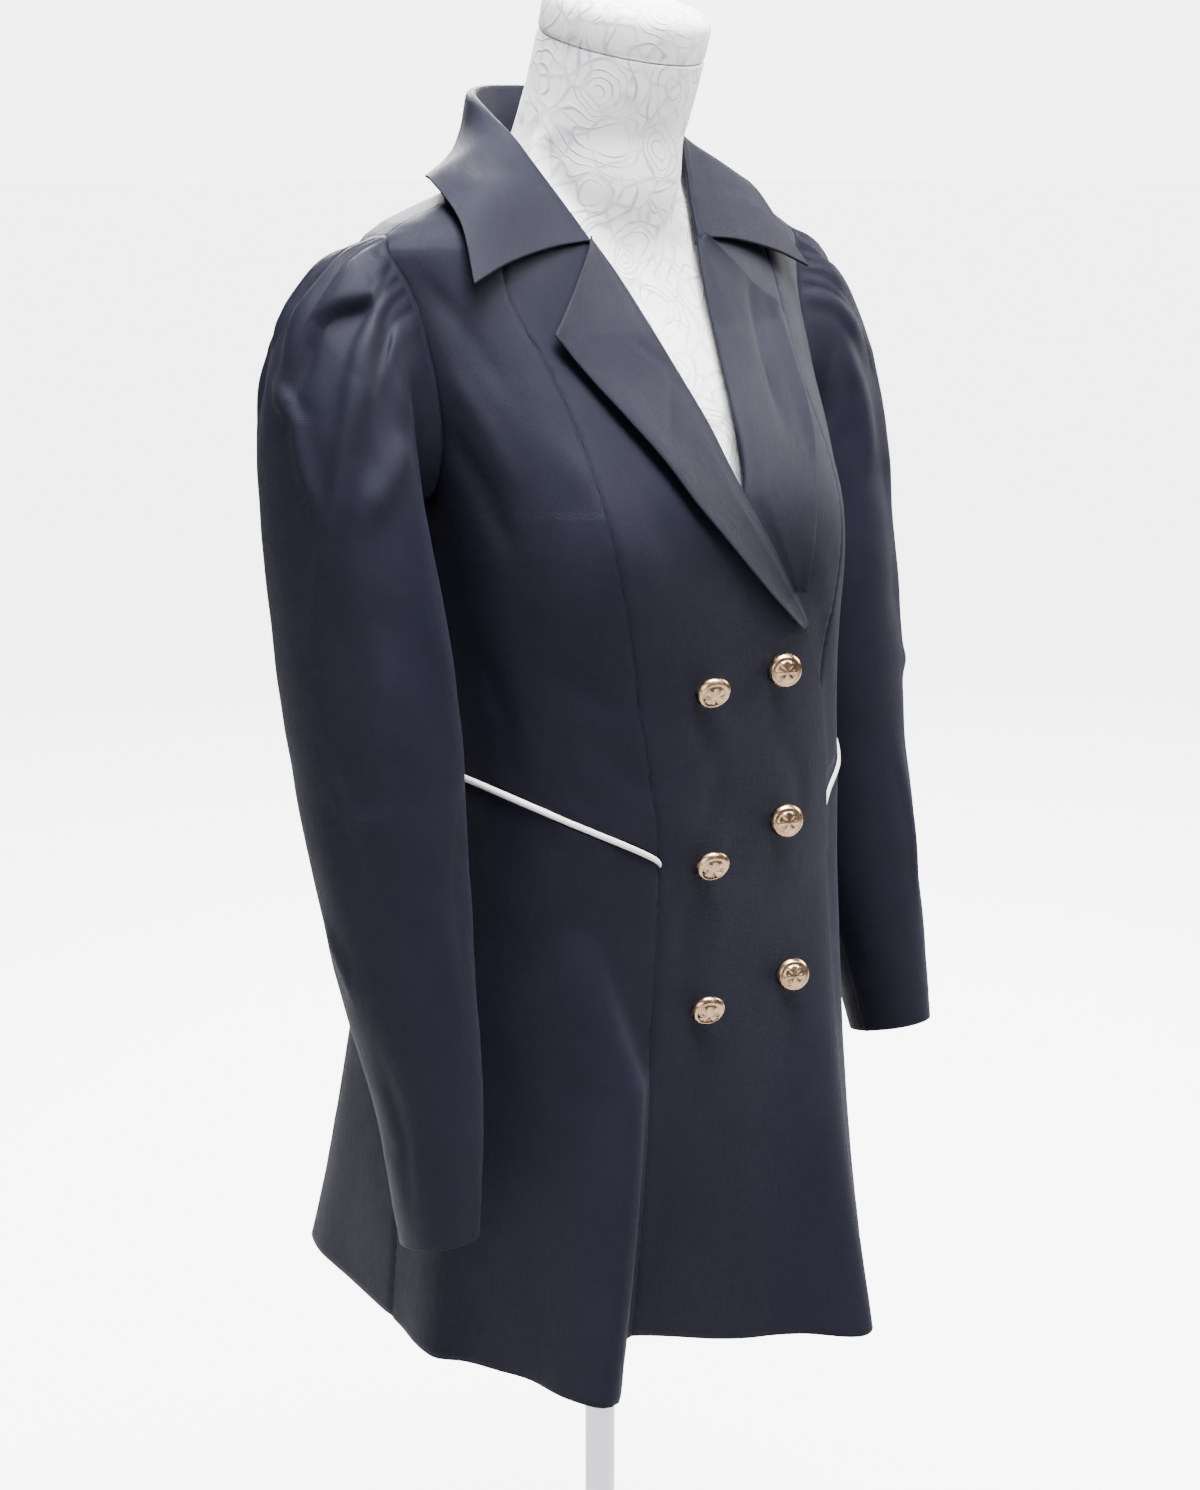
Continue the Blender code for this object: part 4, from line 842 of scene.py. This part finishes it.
def makeLapel(side):
    folds = [measured(crease, bodyMetres) for crease in lapelCreases[side]]
    low, high = lapelEdges[side][0][0], lapelEdges[side][-1][0]
    tip = lapelEdges[side][-2][0]
    heights = [low, *evenly(low, tip, lapelLook["rowsToTip"]), *evenly(tip, high, lapelLook["rowsToNotch"])]
    edgeShares = (0.0, 0.008, 0.02, 0.04)
    columns = lapelLook["columns"]
    shares = [*edgeShares, *(0.04 + 0.92 * k / columns for k in range(1, columns))]
    shares += [1 - share for share in reversed(edgeShares)]
    rows = []
    for height in heights:
        fold, edge = rollAcross(height), lapelAcross(side, height)
        if side == left:
            fold, edge = max(-fold, fold + 0.0012), -edge
        cut = cutAt(height)
        foldTurn = turnAtAcross(cut, fold)
        normal = bodyNormal(foldTurn, height)
        beyond = Vector((normal.y, -normal.x, 0)).normalized() * side
        base = bodyPoint(foldTurn, height)
        row = []
        for k in range(lapelLook["rollSteps"]):
            a = math.pi * k / lapelLook["rollSteps"]
            roll = lapelLook["roll"]
            row.append(base + beyond * roll * math.sin(a) + normal * (0.0003 - roll * math.cos(a)))
        for share in shares:
            turn = turnAtAcross(cut, fold + (edge - fold) * share)
            away = abs(edge - fold) * (1 - share)
            off = lapelLook["seat"] + lapelLook["lift"] * ease(share * 4) + lapelLook["standOff"] * share * share
            off += jacket["cloth"] - lapelLook["edgeSink"] * math.exp(-away / lapelLook["edgeReach"])
            off += creaseAt(folds, *bodyMetres(turn, height)) * ease(share * 8)
            off += softNoise(Vector((fold + turn, height, side)), 20, 0.0002)
            row.append(bodyPoint(turn, height) + bodyNormal(turn, height) * off)
        rows.append(row)
    name, node = sided("lapel", side)
    piece = clothPiece(name, rows, sateen, wall=lapelLook["wall"], flip=side == right)
    return place(piece, "navy_sateen", node)


# Collar from the front end, 0, to the centre back, 1: seam, fold and edge as across, forward and up, then bow
collarStations = (
    (0.00, 0.0512, 0.0432, 1.3372, 0.0514, 0.0452, 1.3425, 0.1600, 0.0525, 1.3200, 0.0050),
    (0.12, 0.0620, 0.027, 1.3610, 0.0610, 0.028, 1.3675, 0.1500, 0.030, 1.3530, 0.012),
    (0.24, 0.0695, 0.014, 1.3800, 0.0705, 0.015, 1.3880, 0.1480, 0.010, 1.3730, 0.008),
    (0.36, 0.0735, 0.001, 1.3930, 0.0785, 0.001, 1.4080, 0.1440, -0.008, 1.3830, 0.003),
    (0.48, 0.0735, -0.018, 1.3940, 0.0800, -0.018, 1.4220, 0.1330, -0.026, 1.3830, -0.002),
    (0.60, 0.0700, -0.038, 1.3950, 0.0745, -0.041, 1.4340, 0.1080, -0.047, 1.3820, -0.004),
    (0.74, 0.0550, -0.058, 1.3960, 0.0570, -0.062, 1.4400, 0.0780, -0.074, 1.3780, -0.004),
    (0.87, 0.0310, -0.071, 1.3960, 0.0320, -0.077, 1.4430, 0.0430, -0.0885, 1.3700, -0.002),
    (1.00, 0.0000, -0.075, 1.3960, 0.0000, -0.082, 1.4440, 0.0000, -0.0935, 1.3680, 0.000),
)
tables["collar"] = collarStations
collarLook = {
    "fold": 0.0022, "leftFlatter": 0.6, "wall": 0.0018, "around": 150, "wave": 0.0012, "waves": 31,
    "mottle": 0.0006, "edgeSteps": (0.0052, 0.0030, 0.0016, 0.0006, 0.0),
}


def collarProfile(share):
    side = right if share <= 0.5 else left
    wayRound = 1 - abs(2 * share - 1)
    row = rowAt("collar", round(wayRound, 6))
    seam, fold, edge = (Vector((side * row[k], -row[k + 1], row[k + 2])) for k in (0, 3, 6))
    bow = row[9]
    if side == left:
        bow -= collarLook["leftFlatter"] * max(bow, 0) * ease((wayRound - 0.03) / 0.15)
    spreadWay = edge - fold
    away = Vector((spreadWay.x, spreadWay.y, 0)).normalized()
    radius = collarLook["fold"]
    standTop = fold - Vector((0, 0, radius))
    points = [seam, seam.lerp(standTop, 0.5), standTop]
    points.append(fold + away * radius * 0.35 - Vector((0, 0, radius * 0.15)))
    points.append(fold + away * radius * 1.5)
    shoulder = fold + away * radius * 2.6 + Vector((0, 0, max(bow, 0) * 0.35 - radius * 0.8))
    points.append(shoulder)
    lift = Vector((0, 0, bow)) + away * bow * 0.5
    points += [shoulder.lerp(edge, 0.3) + lift * 0.85, shoulder.lerp(edge, 0.65) + lift * 0.9, edge]
    return points


def makeCollar():
    rows = []
    endSteps = (0.0, 0.002, 0.005, 0.009)
    count = collarLook["around"]
    shares = [*endSteps, *(0.009 + 0.982 * k / count for k in range(1, count))]
    shares += [1 - share for share in reversed(endSteps)]
    for share in shares:
        profile = collarProfile(share)
        knots = [0.0]
        for a, b in zip(profile, profile[1:]):
            knots.append(knots[-1] + (b - a).length)
        total = knots[-1]
        fallEdge = [total - step for step in collarLook["edgeSteps"]]
        fine = [knots[2] * k / 4 for k in range(4)]
        fine += [knots[2] + (knots[5] - knots[2]) * k / 8 for k in range(9)]
        fine += [knots[5] + (fallEdge[0] - knots[5]) * k / 22 for k in range(1, 22)] + fallEdge
        row = []
        for at in fine:
            spot = Vector([smoothValue(knots, [p[axis] for p in profile], at) for axis in range(3)])
            onFall = ease((at - knots[5]) / max(total - knots[5], 0.001) * 3)
            wave = collarLook["wave"] * math.sin(share * collarLook["waves"]) * onFall
            wave += softNoise(spot, 30, collarLook["mottle"]) * onFall
            row.append(spot + Vector((0, 0, wave)))
        rows.append(row)
    piece = clothPiece("collarFall", rows, sateen, wall=collarLook["wall"], flip=True, offset=0)
    return place(piece, "navy_sateen", "collar")


# Sleeve rings: outer across and height, inner across and height, forward, breadth, yaw, slope
sleeveRings = (
    (0.213, 1.339, 0.191, 1.173, -0.006, 0.046, 0, 0.00),
    (0.233, 1.322, 0.187, 1.162, -0.007, 0.055, 0, 0.00),
    (0.254, 1.294, 0.181, 1.149, -0.007, 0.060, 0, 0.00),
    (0.268, 1.250, 0.177, 1.128, -0.003, 0.064, 0, 0.00),
    (0.2745, 1.195, 0.175, 1.100, 0.002, 0.067, 0, 0.02),
    (0.277, 1.130, 0.174, 1.062, 0.010, 0.068, 0, 0.05),
    (0.279, 1.050, 0.176, 1.010, 0.022, 0.065, 0, 0.10),
    (0.2785, 0.960, 0.182, 0.945, 0.039, 0.056, 4, 0.15),
    (0.2745, 0.870, 0.191, 0.866, 0.059, 0.049, 8, 0.20),
    (0.268, 0.785, 0.203, 0.783, 0.082, 0.040, 12, 0.25),
    (0.2655, 0.705, 0.2185, 0.703, 0.0965, 0.033, 14, 0.30),
)
sleeveLook = {
    "gathers": 7, "gatherSpread": 78, "gatherFade": 20, "gatherDepth": 0.0022, "gatherPeak": 1.6, "gatherEnd": 5.0,
    "gatherFrom": (0.20, -0.004, -0.05),  # outward, ahead, and up from each point
    "seat": 0.0010, "seamTurn": 0.003, "leftCuffRise": 0.009, "leftTuck": 0.004, "columns": 168,
    "wall": 0.0012, "perDegree": 0.00098, "seamAngle": 196, "hemSeam": 0.615, "wrinkles": 0.0011,
    "topRows": (0.0044, 0.2000, 86), "lowRows": (0.2000, 0.6340, 96),  # from, to, count
}
# Lengths down the sleeve at each ring, in metres, for the creases
sleeveLengths = (0.0, 0.012, 0.036, 0.066, 0.108, 0.160, 0.222, 0.300, 0.388, 0.476, 0.560, 0.640)


def armholeSeam(side, angle):
    # the armhole's edge as a smooth oval: 0 at the shoulder tip, 90 at the front and 180 under the arm
    angle %= 360
    facing = 1 if angle <= 180 else -1
    share = angle / 180 if angle <= 180 else (360 - angle) / 180
    rise = jacket["shoulderTip"] - jacket["armholeHeight"]
    height = jacket["armholeHeight"] + rise * math.cos(math.pi * share)
    return bodyPoint(armholeTurn(height, side, facing), height)


def sleeveRingPoint(ring, side, angle):
    outerAcross, outerUp, innerAcross, innerUp, forward, breadth, yaw, slope = ring
    a = math.radians(angle)
    outer, inner = Vector((outerAcross, 0, outerUp)), Vector((innerAcross, 0, innerUp))
    offset = (outer - inner) / 2 * math.cos(a) + Vector((0, -breadth * math.sin(a), 0))
    turned = Matrix.Rotation(math.radians(yaw), 3, "Z") @ offset
    turned.z -= turned.y * slope
    spot = (outer + inner) / 2 + turned + Vector((0, -forward, 0))
    return Vector((side * spot.x, spot.y, spot.z))


@lru_cache(maxsize=None)
def sleeveStops(side, angle):
    seam = armholeSeam(side, angle)
    centre = Vector((seam.x, 0, jacket["armholeHeight"]))
    seam = seam + (centre - seam).normalized() * 0.0004 + Vector((side * sleeveLook["seat"], 0, 0))
    stops = [seam] + [sleeveRingPoint(ring, side, angle) for ring in sleeveRings]
    if side == left:
        stops[-1].z += sleeveLook["leftCuffRise"]
        stops[-2].z += sleeveLook["leftCuffRise"] / 2
        for stop in stops[3:]:
            stop.x -= sleeveLook["leftTuck"]
    return stops


def sleeveBase(side, along, angle):
    stops = sleeveStops(side, round(angle % 360, 4))
    knots = range(len(stops))
    spot = Vector([smoothValue(knots, [stop[axis] for stop in stops], along) for axis in range(3)])
    fromTop = wrapped(angle)
    sweep = sleeveLook["gatherSpread"]
    if 0 < along < sleeveLook["gatherEnd"] and abs(fromTop) < sweep:
        wave = math.cos(math.pi * sleeveLook["gathers"] * fromTop / sweep + 0.5 * math.sin(fromTop * 0.11))
        peak, end = sleeveLook["gatherPeak"], sleeveLook["gatherEnd"]
        grow = ease(along / peak) if along < peak else 1 - ease((along - peak) / (end - peak))
        edge = ease((sweep - abs(fromTop)) / sleeveLook["gatherFade"])
        outward, ahead, up = sleeveLook["gatherFrom"]
        way = (spot - Vector((side * outward, ahead, spot.z + up))).normalized()
        spot += way * sleeveLook["gatherDepth"] * wave * grow * edge
    return spot


def sleeveMetres(angle, along):
    return angle * sleeveLook["perDegree"], smoothValue(range(len(sleeveLengths)), sleeveLengths, along)


def makeSleeve(side):
    creases = rightSleeveCreases if side == right else leftSleeveCreases
    folds = [measured(crease, sleeveMetres) for crease in creases]
    count = sleeveLook["columns"]
    angles = [-180 + 360 * k / count for k in range(count)]
    lengths = [0.0, 0.0012, 0.0026, 0.0044, *evenly(*sleeveLook["topRows"]), *evenly(*sleeveLook["lowRows"])]
    lengths += [0.637, 0.639, 0.640]
    stops = [smoothValue(sleeveLengths, range(len(sleeveLengths)), length) for length in lengths]
    bases = [[sleeveBase(side, along, angle) for angle in angles] for along in stops]
    rows = []
    for i, (along, length) in enumerate(zip(stops, lengths)):
        row = []
        for j, angle in enumerate(angles):
            spot = bases[i][j]
            around = bases[i][(j + 1) % count] - bases[i][j - 1]
            down = bases[min(i + 1, len(stops) - 1)][j] - bases[max(i - 1, 0)][j]
            normal = around.cross(down).normalized() * -side
            off = creaseAt(folds, *sleeveMetres(angle, along)) * ease(length / 0.010)
            off += seamDip(length, 0.0010, 0.0024)
            fine = math.exp(-length / 0.020) * ease((84 - abs(angle)) / 24)
            wrinkle = fine * math.sin(angle * 0.62 + 2.2 * math.sin(angle * 0.13))
            off += sleeveLook["wrinkles"] * wrinkle * ease(length / 0.004)
            off += seamDip(wrapped(angle - sleeveLook["seamAngle"]) * sleeveLook["perDegree"], 0.0008, 0.0020)
            off += seamDip(length - sleeveLook["hemSeam"], 0.0003, 0.0016)
            off += softNoise(spot, 12, 0.0016) + softNoise(spot, 34, 0.0006)
            row.append(spot + normal * off)
        rows.append(row)
    # the seam's edge turns in through the armhole
    rows.insert(0, [spot - Vector((side * sleeveLook["seamTurn"], 0, 0)) for spot in rows[0]])
    name, node = sided("sleeve", side)
    piece = clothPiece(name, rows, sateen, wall=sleeveLook["wall"], tube=True, flip=side == left)
    return place(piece, "navy_sateen", node)


def lathed(profile, segments, bevel=None):
    # a closed profile from the axis round the outside and back, spun about Z
    build = bmesh.new()
    corners = [build.verts.new((radius, 0, height)) for radius, height in profile]
    edges = [build.edges.new(pair) for pair in zip(corners, corners[1:])]
    bmesh.ops.spin(
        build, geom=[*corners, *edges], cent=(0, 0, 0), axis=(0, 0, 1), angle=2 * math.pi, steps=segments,
        use_merge=True, use_duplicate=False,
    )
    bmesh.ops.remove_doubles(build, verts=build.verts, dist=1e-6)
    bmesh.ops.recalc_face_normals(build, faces=build.faces)
    if bevel:
        sharp = [e for e in build.edges if len(e.link_faces) == 2 and e.calc_face_angle() > 0.7]
        bmesh.ops.bevel(
            build, geom=sharp, offset=bevel, offset_type="OFFSET", segments=2, profile=0.5, material=-1,
            affect="EDGES",
        )
    return build


buttonLook = {
    "rows": (1.056, 0.947, 0.832), "lowered": {(1, right): 0.012}, "spread": (0.0365, 0.0385, 0.0440),
    "shift": -0.0025, "clearance": 0.0004, "droop": (0.52, 0), "lean": (0.48, 0.60),
    "radius": 0.0122, "height": 0.0120, "shank": 0.0045, "shankRadius": 0.0020, "backRadius": 0.0088,
    "edge": 0.0010, "shoulder": 0.0022, "petals": 6,
    # relief: place as a share of the radius, width, rise
    "petal": (0.42, 0.17, 0.00085), "rim": (0.82, 0.06, 0.00028), "groove": (0.70, 0.05, -0.00060),
    "centre": (0, 0.13, 0.0005),
}


def ridge(reach, where, width, rise):
    return rise * math.exp(-(((reach - where) / width) ** 2))


def makeButton(row, side):
    look = buttonLook
    radius, height, shank, inner = look["radius"], look["height"], look["shank"], look["shankRadius"]
    shoulder, edge = shank + look["shoulder"], shank + look["edge"]
    profile = [(0, height)]
    for k in range(1, 17):
        a = math.pi / 2 * k / 16
        profile.append((radius * math.sin(a), shoulder + (height - shoulder) * math.cos(a)))
    profile += [(radius, edge), (radius - 0.0009, shank + 0.0002), (look["backRadius"], shank)]
    profile += [(inner, shank), (inner, 0), (0, 0)]
    build = lathed(profile, 48)
    for corner in build.verts:
        reach = math.hypot(corner.co.x, corner.co.y) / radius
        if corner.co.z > shoulder - 0.0001 and reach < 0.99:
            angle = math.atan2(corner.co.y, corner.co.x)
            rise = ridge(reach, *look["petal"]) * max(math.cos(look["petals"] * angle), -0.2)
            rise += sum(ridge(reach, *look[part]) for part in ("rim", "groove", "centre"))
            corner.co += corner.co.normalized() * rise
    level = look["rows"][row] - look["lowered"].get((row, side), 0)
    turn = turnAtAcross(cutAt(level), side * look["spread"][row] + look["shift"])
    normal = bodyNormal(turn, level)
    column = 0 if side == right else 1
    facing = (normal - Vector((look["lean"][column], 0, look["droop"][column]))).normalized()
    tilt = normal.angle(facing)
    turned = facing.to_track_quat("Z", "Y").to_matrix().to_4x4()
    seat = look["clearance"] + radius * math.sin(tilt) - edge * math.cos(tilt)
    spot = bodyPoint(turn, level) + normal * seat
    bmesh.ops.transform(build, matrix=Matrix.Translation(spot) @ turned, verts=build.verts)
    name, node = sided("button", side)
    return place(finished(f"{name}{row + 1}", build, gold), "gold_button", f"{node}_{row + 1}")


# Dress form: height, half width, front, back, squareness, neck radius, centre, tilt
formCuts = (
    (0.745, 0.148, 0.090, 0.098, 2.1, 0.0, 0.0, 0),
    (0.752, 0.156, 0.096, 0.104, 2.1, 0.0, 0.0, 0),
    (0.800, 0.166, 0.103, 0.112, 2.1, 0.0, 0.0, 0),
    (0.860, 0.156, 0.101, 0.104, 2.2, 0.0, 0.0, 0),
    (0.920, 0.138, 0.094, 0.092, 2.2, 0.0, 0.0, 0),
    (0.985, 0.122, 0.088, 0.083, 2.2, 0.0, 0.0, 0),
    (1.050, 0.132, 0.097, 0.088, 2.2, 0.0, 0.0, 0),
    (1.110, 0.143, 0.114, 0.095, 2.3, 0.0, 0.0, 0),
    (1.160, 0.152, 0.124, 0.101, 2.2, 0.0, 0.0, 0),
    (1.210, 0.162, 0.112, 0.107, 2.1, 0.0, 0.0, 0),
    (1.260, 0.174, 0.088, 0.108, 2.1, 0.0, 0.0, 0),
    (1.305, 0.182, 0.058, 0.101, 2.1, 0.034, 0.0, 0),
    (1.337, 0.184, 0.037, 0.089, 2.1, 0.041, 0.0, 0),
    (1.3513, 0.181, 0.0300, 0.0860, 2.1, 0.0460, 0.0, 0),
    (1.3623, 0.149, 0.0225, 0.0810, 2.1, 0.0505, 0.0, 0),
    (1.3718, 0.120, 0.0155, 0.0755, 2.1, 0.0535, 0.0, 0),
    (1.3808, 0.0945, 0.0110, 0.0700, 2.1, 0.0552, 0.0, 0),
    (1.3885, 0.0700, 0.0100, 0.0640, 2.1, 0.0560, 0.0, 0),
    (1.402, 0.0600, 0.0100, 0.0580, 2.1, 0.0565, 0.000, 0),
    (1.412, 0.050, 0.020, 0.050, 2.1, 0.0568, -0.001, 3),
    (1.428, 0.040, 0.020, 0.040, 2.0, 0.0570, -0.006, 8),
    (1.448, 0.020, 0.020, 0.020, 2.0, 0.0565, -0.013, 13),
    (1.468, 0.020, 0.020, 0.020, 2.0, 0.0560, -0.020, 16),
)
tables["form"] = formCuts
formLook = {"columns": 120, "sideSeams": (-75, 75), "inset": 0.0002}


def formPoint(height, angle):
    half, front, back, power, neck, centre, tilt = rowAt("form", round(height, 6))
    a = math.radians(angle)
    way = Vector((1.5 * math.sin(a), -math.cos(a))).normalized()
    depth = front if way.y < 0 else back
    slab = (abs(way.x / half) ** power + abs(way.y / depth) ** power) ** (-1 / power)
    reach = (slab**6 + neck**6) ** (1 / 6) - formLook["inset"]
    for seam in formLook["sideSeams"]:
        reach += seamDip(math.radians(wrapped(angle - seam)) * reach, 0.0009, 0.0016)
    x, y = way.x * reach, way.y * reach
    return Vector((x, y + centre, height + y * math.tan(math.radians(tilt))))


def makeForm():
    knots = [cut[0] for cut in formCuts]
    heights = []
    for low, high in zip(knots, knots[1:]):
        count = max(round((high - low) / 0.006), 2)
        heights += [low + (high - low) * k / count for k in range(count)]
    heights.append(knots[-1])
    count = formLook["columns"]
    seams = [seam + step for seam in formLook["sideSeams"] for step in (-1.5, -0.7, 0, 0.7, 1.5)]
    angles = sorted({-180 + 360 * k / count for k in range(count)} | set(seams))
    build = bmesh.new()
    bmesh.ops.create_grid(build, x_segments=len(angles), y_segments=len(heights) - 1, size=1)
    for corner in build.verts:
        j = round((corner.co.x + 1) / 2 * len(angles)) % len(angles)
        i = round((corner.co.y + 1) / 2 * (len(heights) - 1))
        corner.co = formPoint(heights[i], angles[j])
    bmesh.ops.remove_doubles(build, verts=build.verts, dist=1e-6)
    bmesh.ops.holes_fill(build, edges=[edge for edge in build.edges if edge.is_boundary])
    bmesh.ops.recalc_face_normals(build, faces=build.faces)
    piece = finished("formTorso", build, coverCloth)
    piece.data.set_sharp_from_angle(angle=math.radians(50))
    return place(piece, "form_cover", "form_torso")


capLook = {
    "radius": 0.0570, "thick": 0.032, "flat": 0.84, "round": 0.0092, "tilt": 16, "foot": (0, -0.020, 1.468),
}
standLook = {
    "gap": 0.0003, "segments": 96, "top": 0.745, "flange": (0.045, 0.006), "pole": 0.012,
    "base": (0.165, 0.010), "chamfer": 0.003, "bore": 0.0123, "socketTop": 0.045,
}


def makeCap():
    radius, thick, flat, gap = capLook["radius"], capLook["thick"], capLook["flat"], standLook["gap"]
    profile = [(0, thick), (radius * 0.70, thick - 0.001), (radius * flat, thick - 0.0028)]
    for k in range(1, 7):
        a = math.pi / 2 * k / 6
        across = radius * (flat + (1 - flat) * math.sin(a))
        profile.append((across, thick - 0.012 + capLook["round"] * math.cos(a)))
    profile += [(radius, 0.004), (radius - 0.001, 0.0014), (radius - 0.003, 0), (0, 0)]
    build = lathed(profile, standLook["segments"])
    tilt = math.radians(capLook["tilt"])
    spot = Vector(capLook["foot"]) + Vector((0, -math.sin(tilt), math.cos(tilt))) * gap
    turned = Matrix.Translation(spot) @ Matrix.Rotation(tilt, 4, "X")
    bmesh.ops.transform(build, matrix=turned, verts=build.verts)
    return place(finished("neckCap", build, coverCloth), "form_cover", "neck_cap")


def drum(radius, top, foot):
    return [(0, top), (radius, top), (radius, foot), (0, foot)]


def makeStand():
    gap, chamfer, bore = standLook["gap"], standLook["chamfer"], standLook["bore"]
    (reach, base), (flange, thick) = standLook["base"], standLook["flange"]
    under, foot, top = standLook["top"] - gap, base + gap, base + standLook["socketTop"]
    disc = [(0, base), (reach - chamfer, base), (reach, base - chamfer), (reach, 0), (0, 0)]
    ring = [(bore, foot), (0.026, foot), (0.0235, foot + 0.002), (0.0205, foot + 0.008), (0.020, top - 0.002)]
    ring += [(0.018, top), (bore, top), (bore, foot)]
    parts = (
        ("flangeTurned", "flange", drum(flange, under, under - thick), 0.0008),
        ("poleTurned", "pole", drum(standLook["pole"], under - thick - gap, foot), 0.0004),
        ("basePlate", "base_plate", disc, 0.0006),
        ("poleSocket", "pole_socket", ring, None),
    )
    for name, node, profile, bevel in parts:
        piece = finished(name, lathed(profile, standLook["segments"], bevel), standPaint)
        piece.data.set_sharp_from_angle(angle=math.radians(35))
        place(piece, "stand_paint", node)


floorLook = {"reach": 80, "colour": (0.50, 0.50, 0.51), "glow": 4.8}


def makeFloor():
    build = bmesh.new()
    bmesh.ops.create_grid(build, x_segments=1, y_segments=1, size=floorLook["reach"])
    bmesh.ops.translate(build, vec=(0, 0, -0.0005), verts=build.verts)
    floorPaint, tree, shader = newFinish("floorPaint", floorLook["colour"], 0.9)
    rays = addNode(tree, "ShaderNodeLightPath")
    shader.inputs["Emission Color"].default_value = (1, 1, 1, 1)
    glow = spread(tree, rays.outputs["Is Camera Ray"], 0, 1, 0, floorLook["glow"])
    tree.links.new(glow, shader.inputs["Emission Strength"])
    finished("floor", build, floorPaint, smooth=False)


cameraLook = {
    "azimuth": 44, "distance": 1.46, "height": 1.40, "focal": 2050, "horizon": 151, "frame": (1200, 1490),
}


def makeCamera():
    look = cameraLook
    data = bpy.data.cameras.new("camera")
    camera = bpy.data.objects.new("camera", data)
    bpy.context.scene.collection.objects.link(camera)
    wide, tall = look["frame"]
    data.sensor_fit = "AUTO"
    data.sensor_width = 36
    data.lens = look["focal"] / max(wide, tall) * data.sensor_width
    a = math.radians(look["azimuth"])
    pitch = math.atan((tall / 2 - look["horizon"]) / look["focal"])
    camera.location = (-math.sin(a) * look["distance"], -math.cos(a) * look["distance"], look["height"])
    camera.rotation_euler = (math.pi / 2 - pitch, 0, -a)
    bpy.context.scene.camera = camera


# Softboxes: place, aim, size, watts, colour
softboxes = {
    "keyOverhead": ((0.2, -1.7, 3.4), (0, 0, 1.2), 1.4, 130, (1.0, 0.985, 0.98)),
    "topLight": ((-0.3, -0.5, 3.4), (0, 0, 1.3), 1.2, 450, (0.97, 0.98, 1.0)),
    "behindTop": ((1.5, 1.9, 2.7), (0, 0, 1.3), 1.6, 400, (0.98, 0.98, 1.0)),
    "rightSide": ((2.9, -0.7, 2.2), (0, 0, 1.1), 1.4, 130, (1.0, 0.98, 0.97)),
    "leftSide": ((-2.8, -0.7, 1.6), (0, 0, 1.1), 1.6, 45, (0.97, 0.97, 1.0)),
}
skyLook = {"lighting": 0.36, "seen": 5.5}


def makeLights():
    for name, (spot, aim, size, watts, colour) in softboxes.items():
        data = bpy.data.lights.new(name, "AREA")
        data.shape = "SQUARE"
        data.size = size
        data.energy = watts
        data.color = colour
        light = bpy.data.objects.new(name, data)
        light.location = spot
        light.rotation_euler = (Vector(aim) - Vector(spot)).to_track_quat("-Z", "Y").to_euler()
        bpy.context.scene.collection.objects.link(light)
    world = bpy.data.worlds.new("studio")
    world.use_nodes = True
    background = world.node_tree.nodes["Background"]
    background.inputs[0].default_value = (1, 1, 1, 1)
    rays = addNode(world.node_tree, "ShaderNodeLightPath")
    seen = spread(world.node_tree, rays.outputs["Is Camera Ray"], 0, 1, skyLook["lighting"], skyLook["seen"])
    world.node_tree.links.new(seen, background.inputs[1])
    bpy.context.scene.world = world


makeCamera()
makeLights()
makeFloor()
form = makeForm()
makeCap()
makeStand()
print("form and stand made")
panels = jacketBody()
print("jacket body made")
pipes = {side: pipingStrip(side) for side in (right, left)}
lapels = [makeLapel(side) for side in (right, left)]
collar = makeCollar()
print("collar and lapels made")
sleeves = [makeSleeve(side) for side in (right, left)]
buttons = [makeButton(row, side) for row in range(3) for side in (right, left)]
print("sleeves and buttons made")
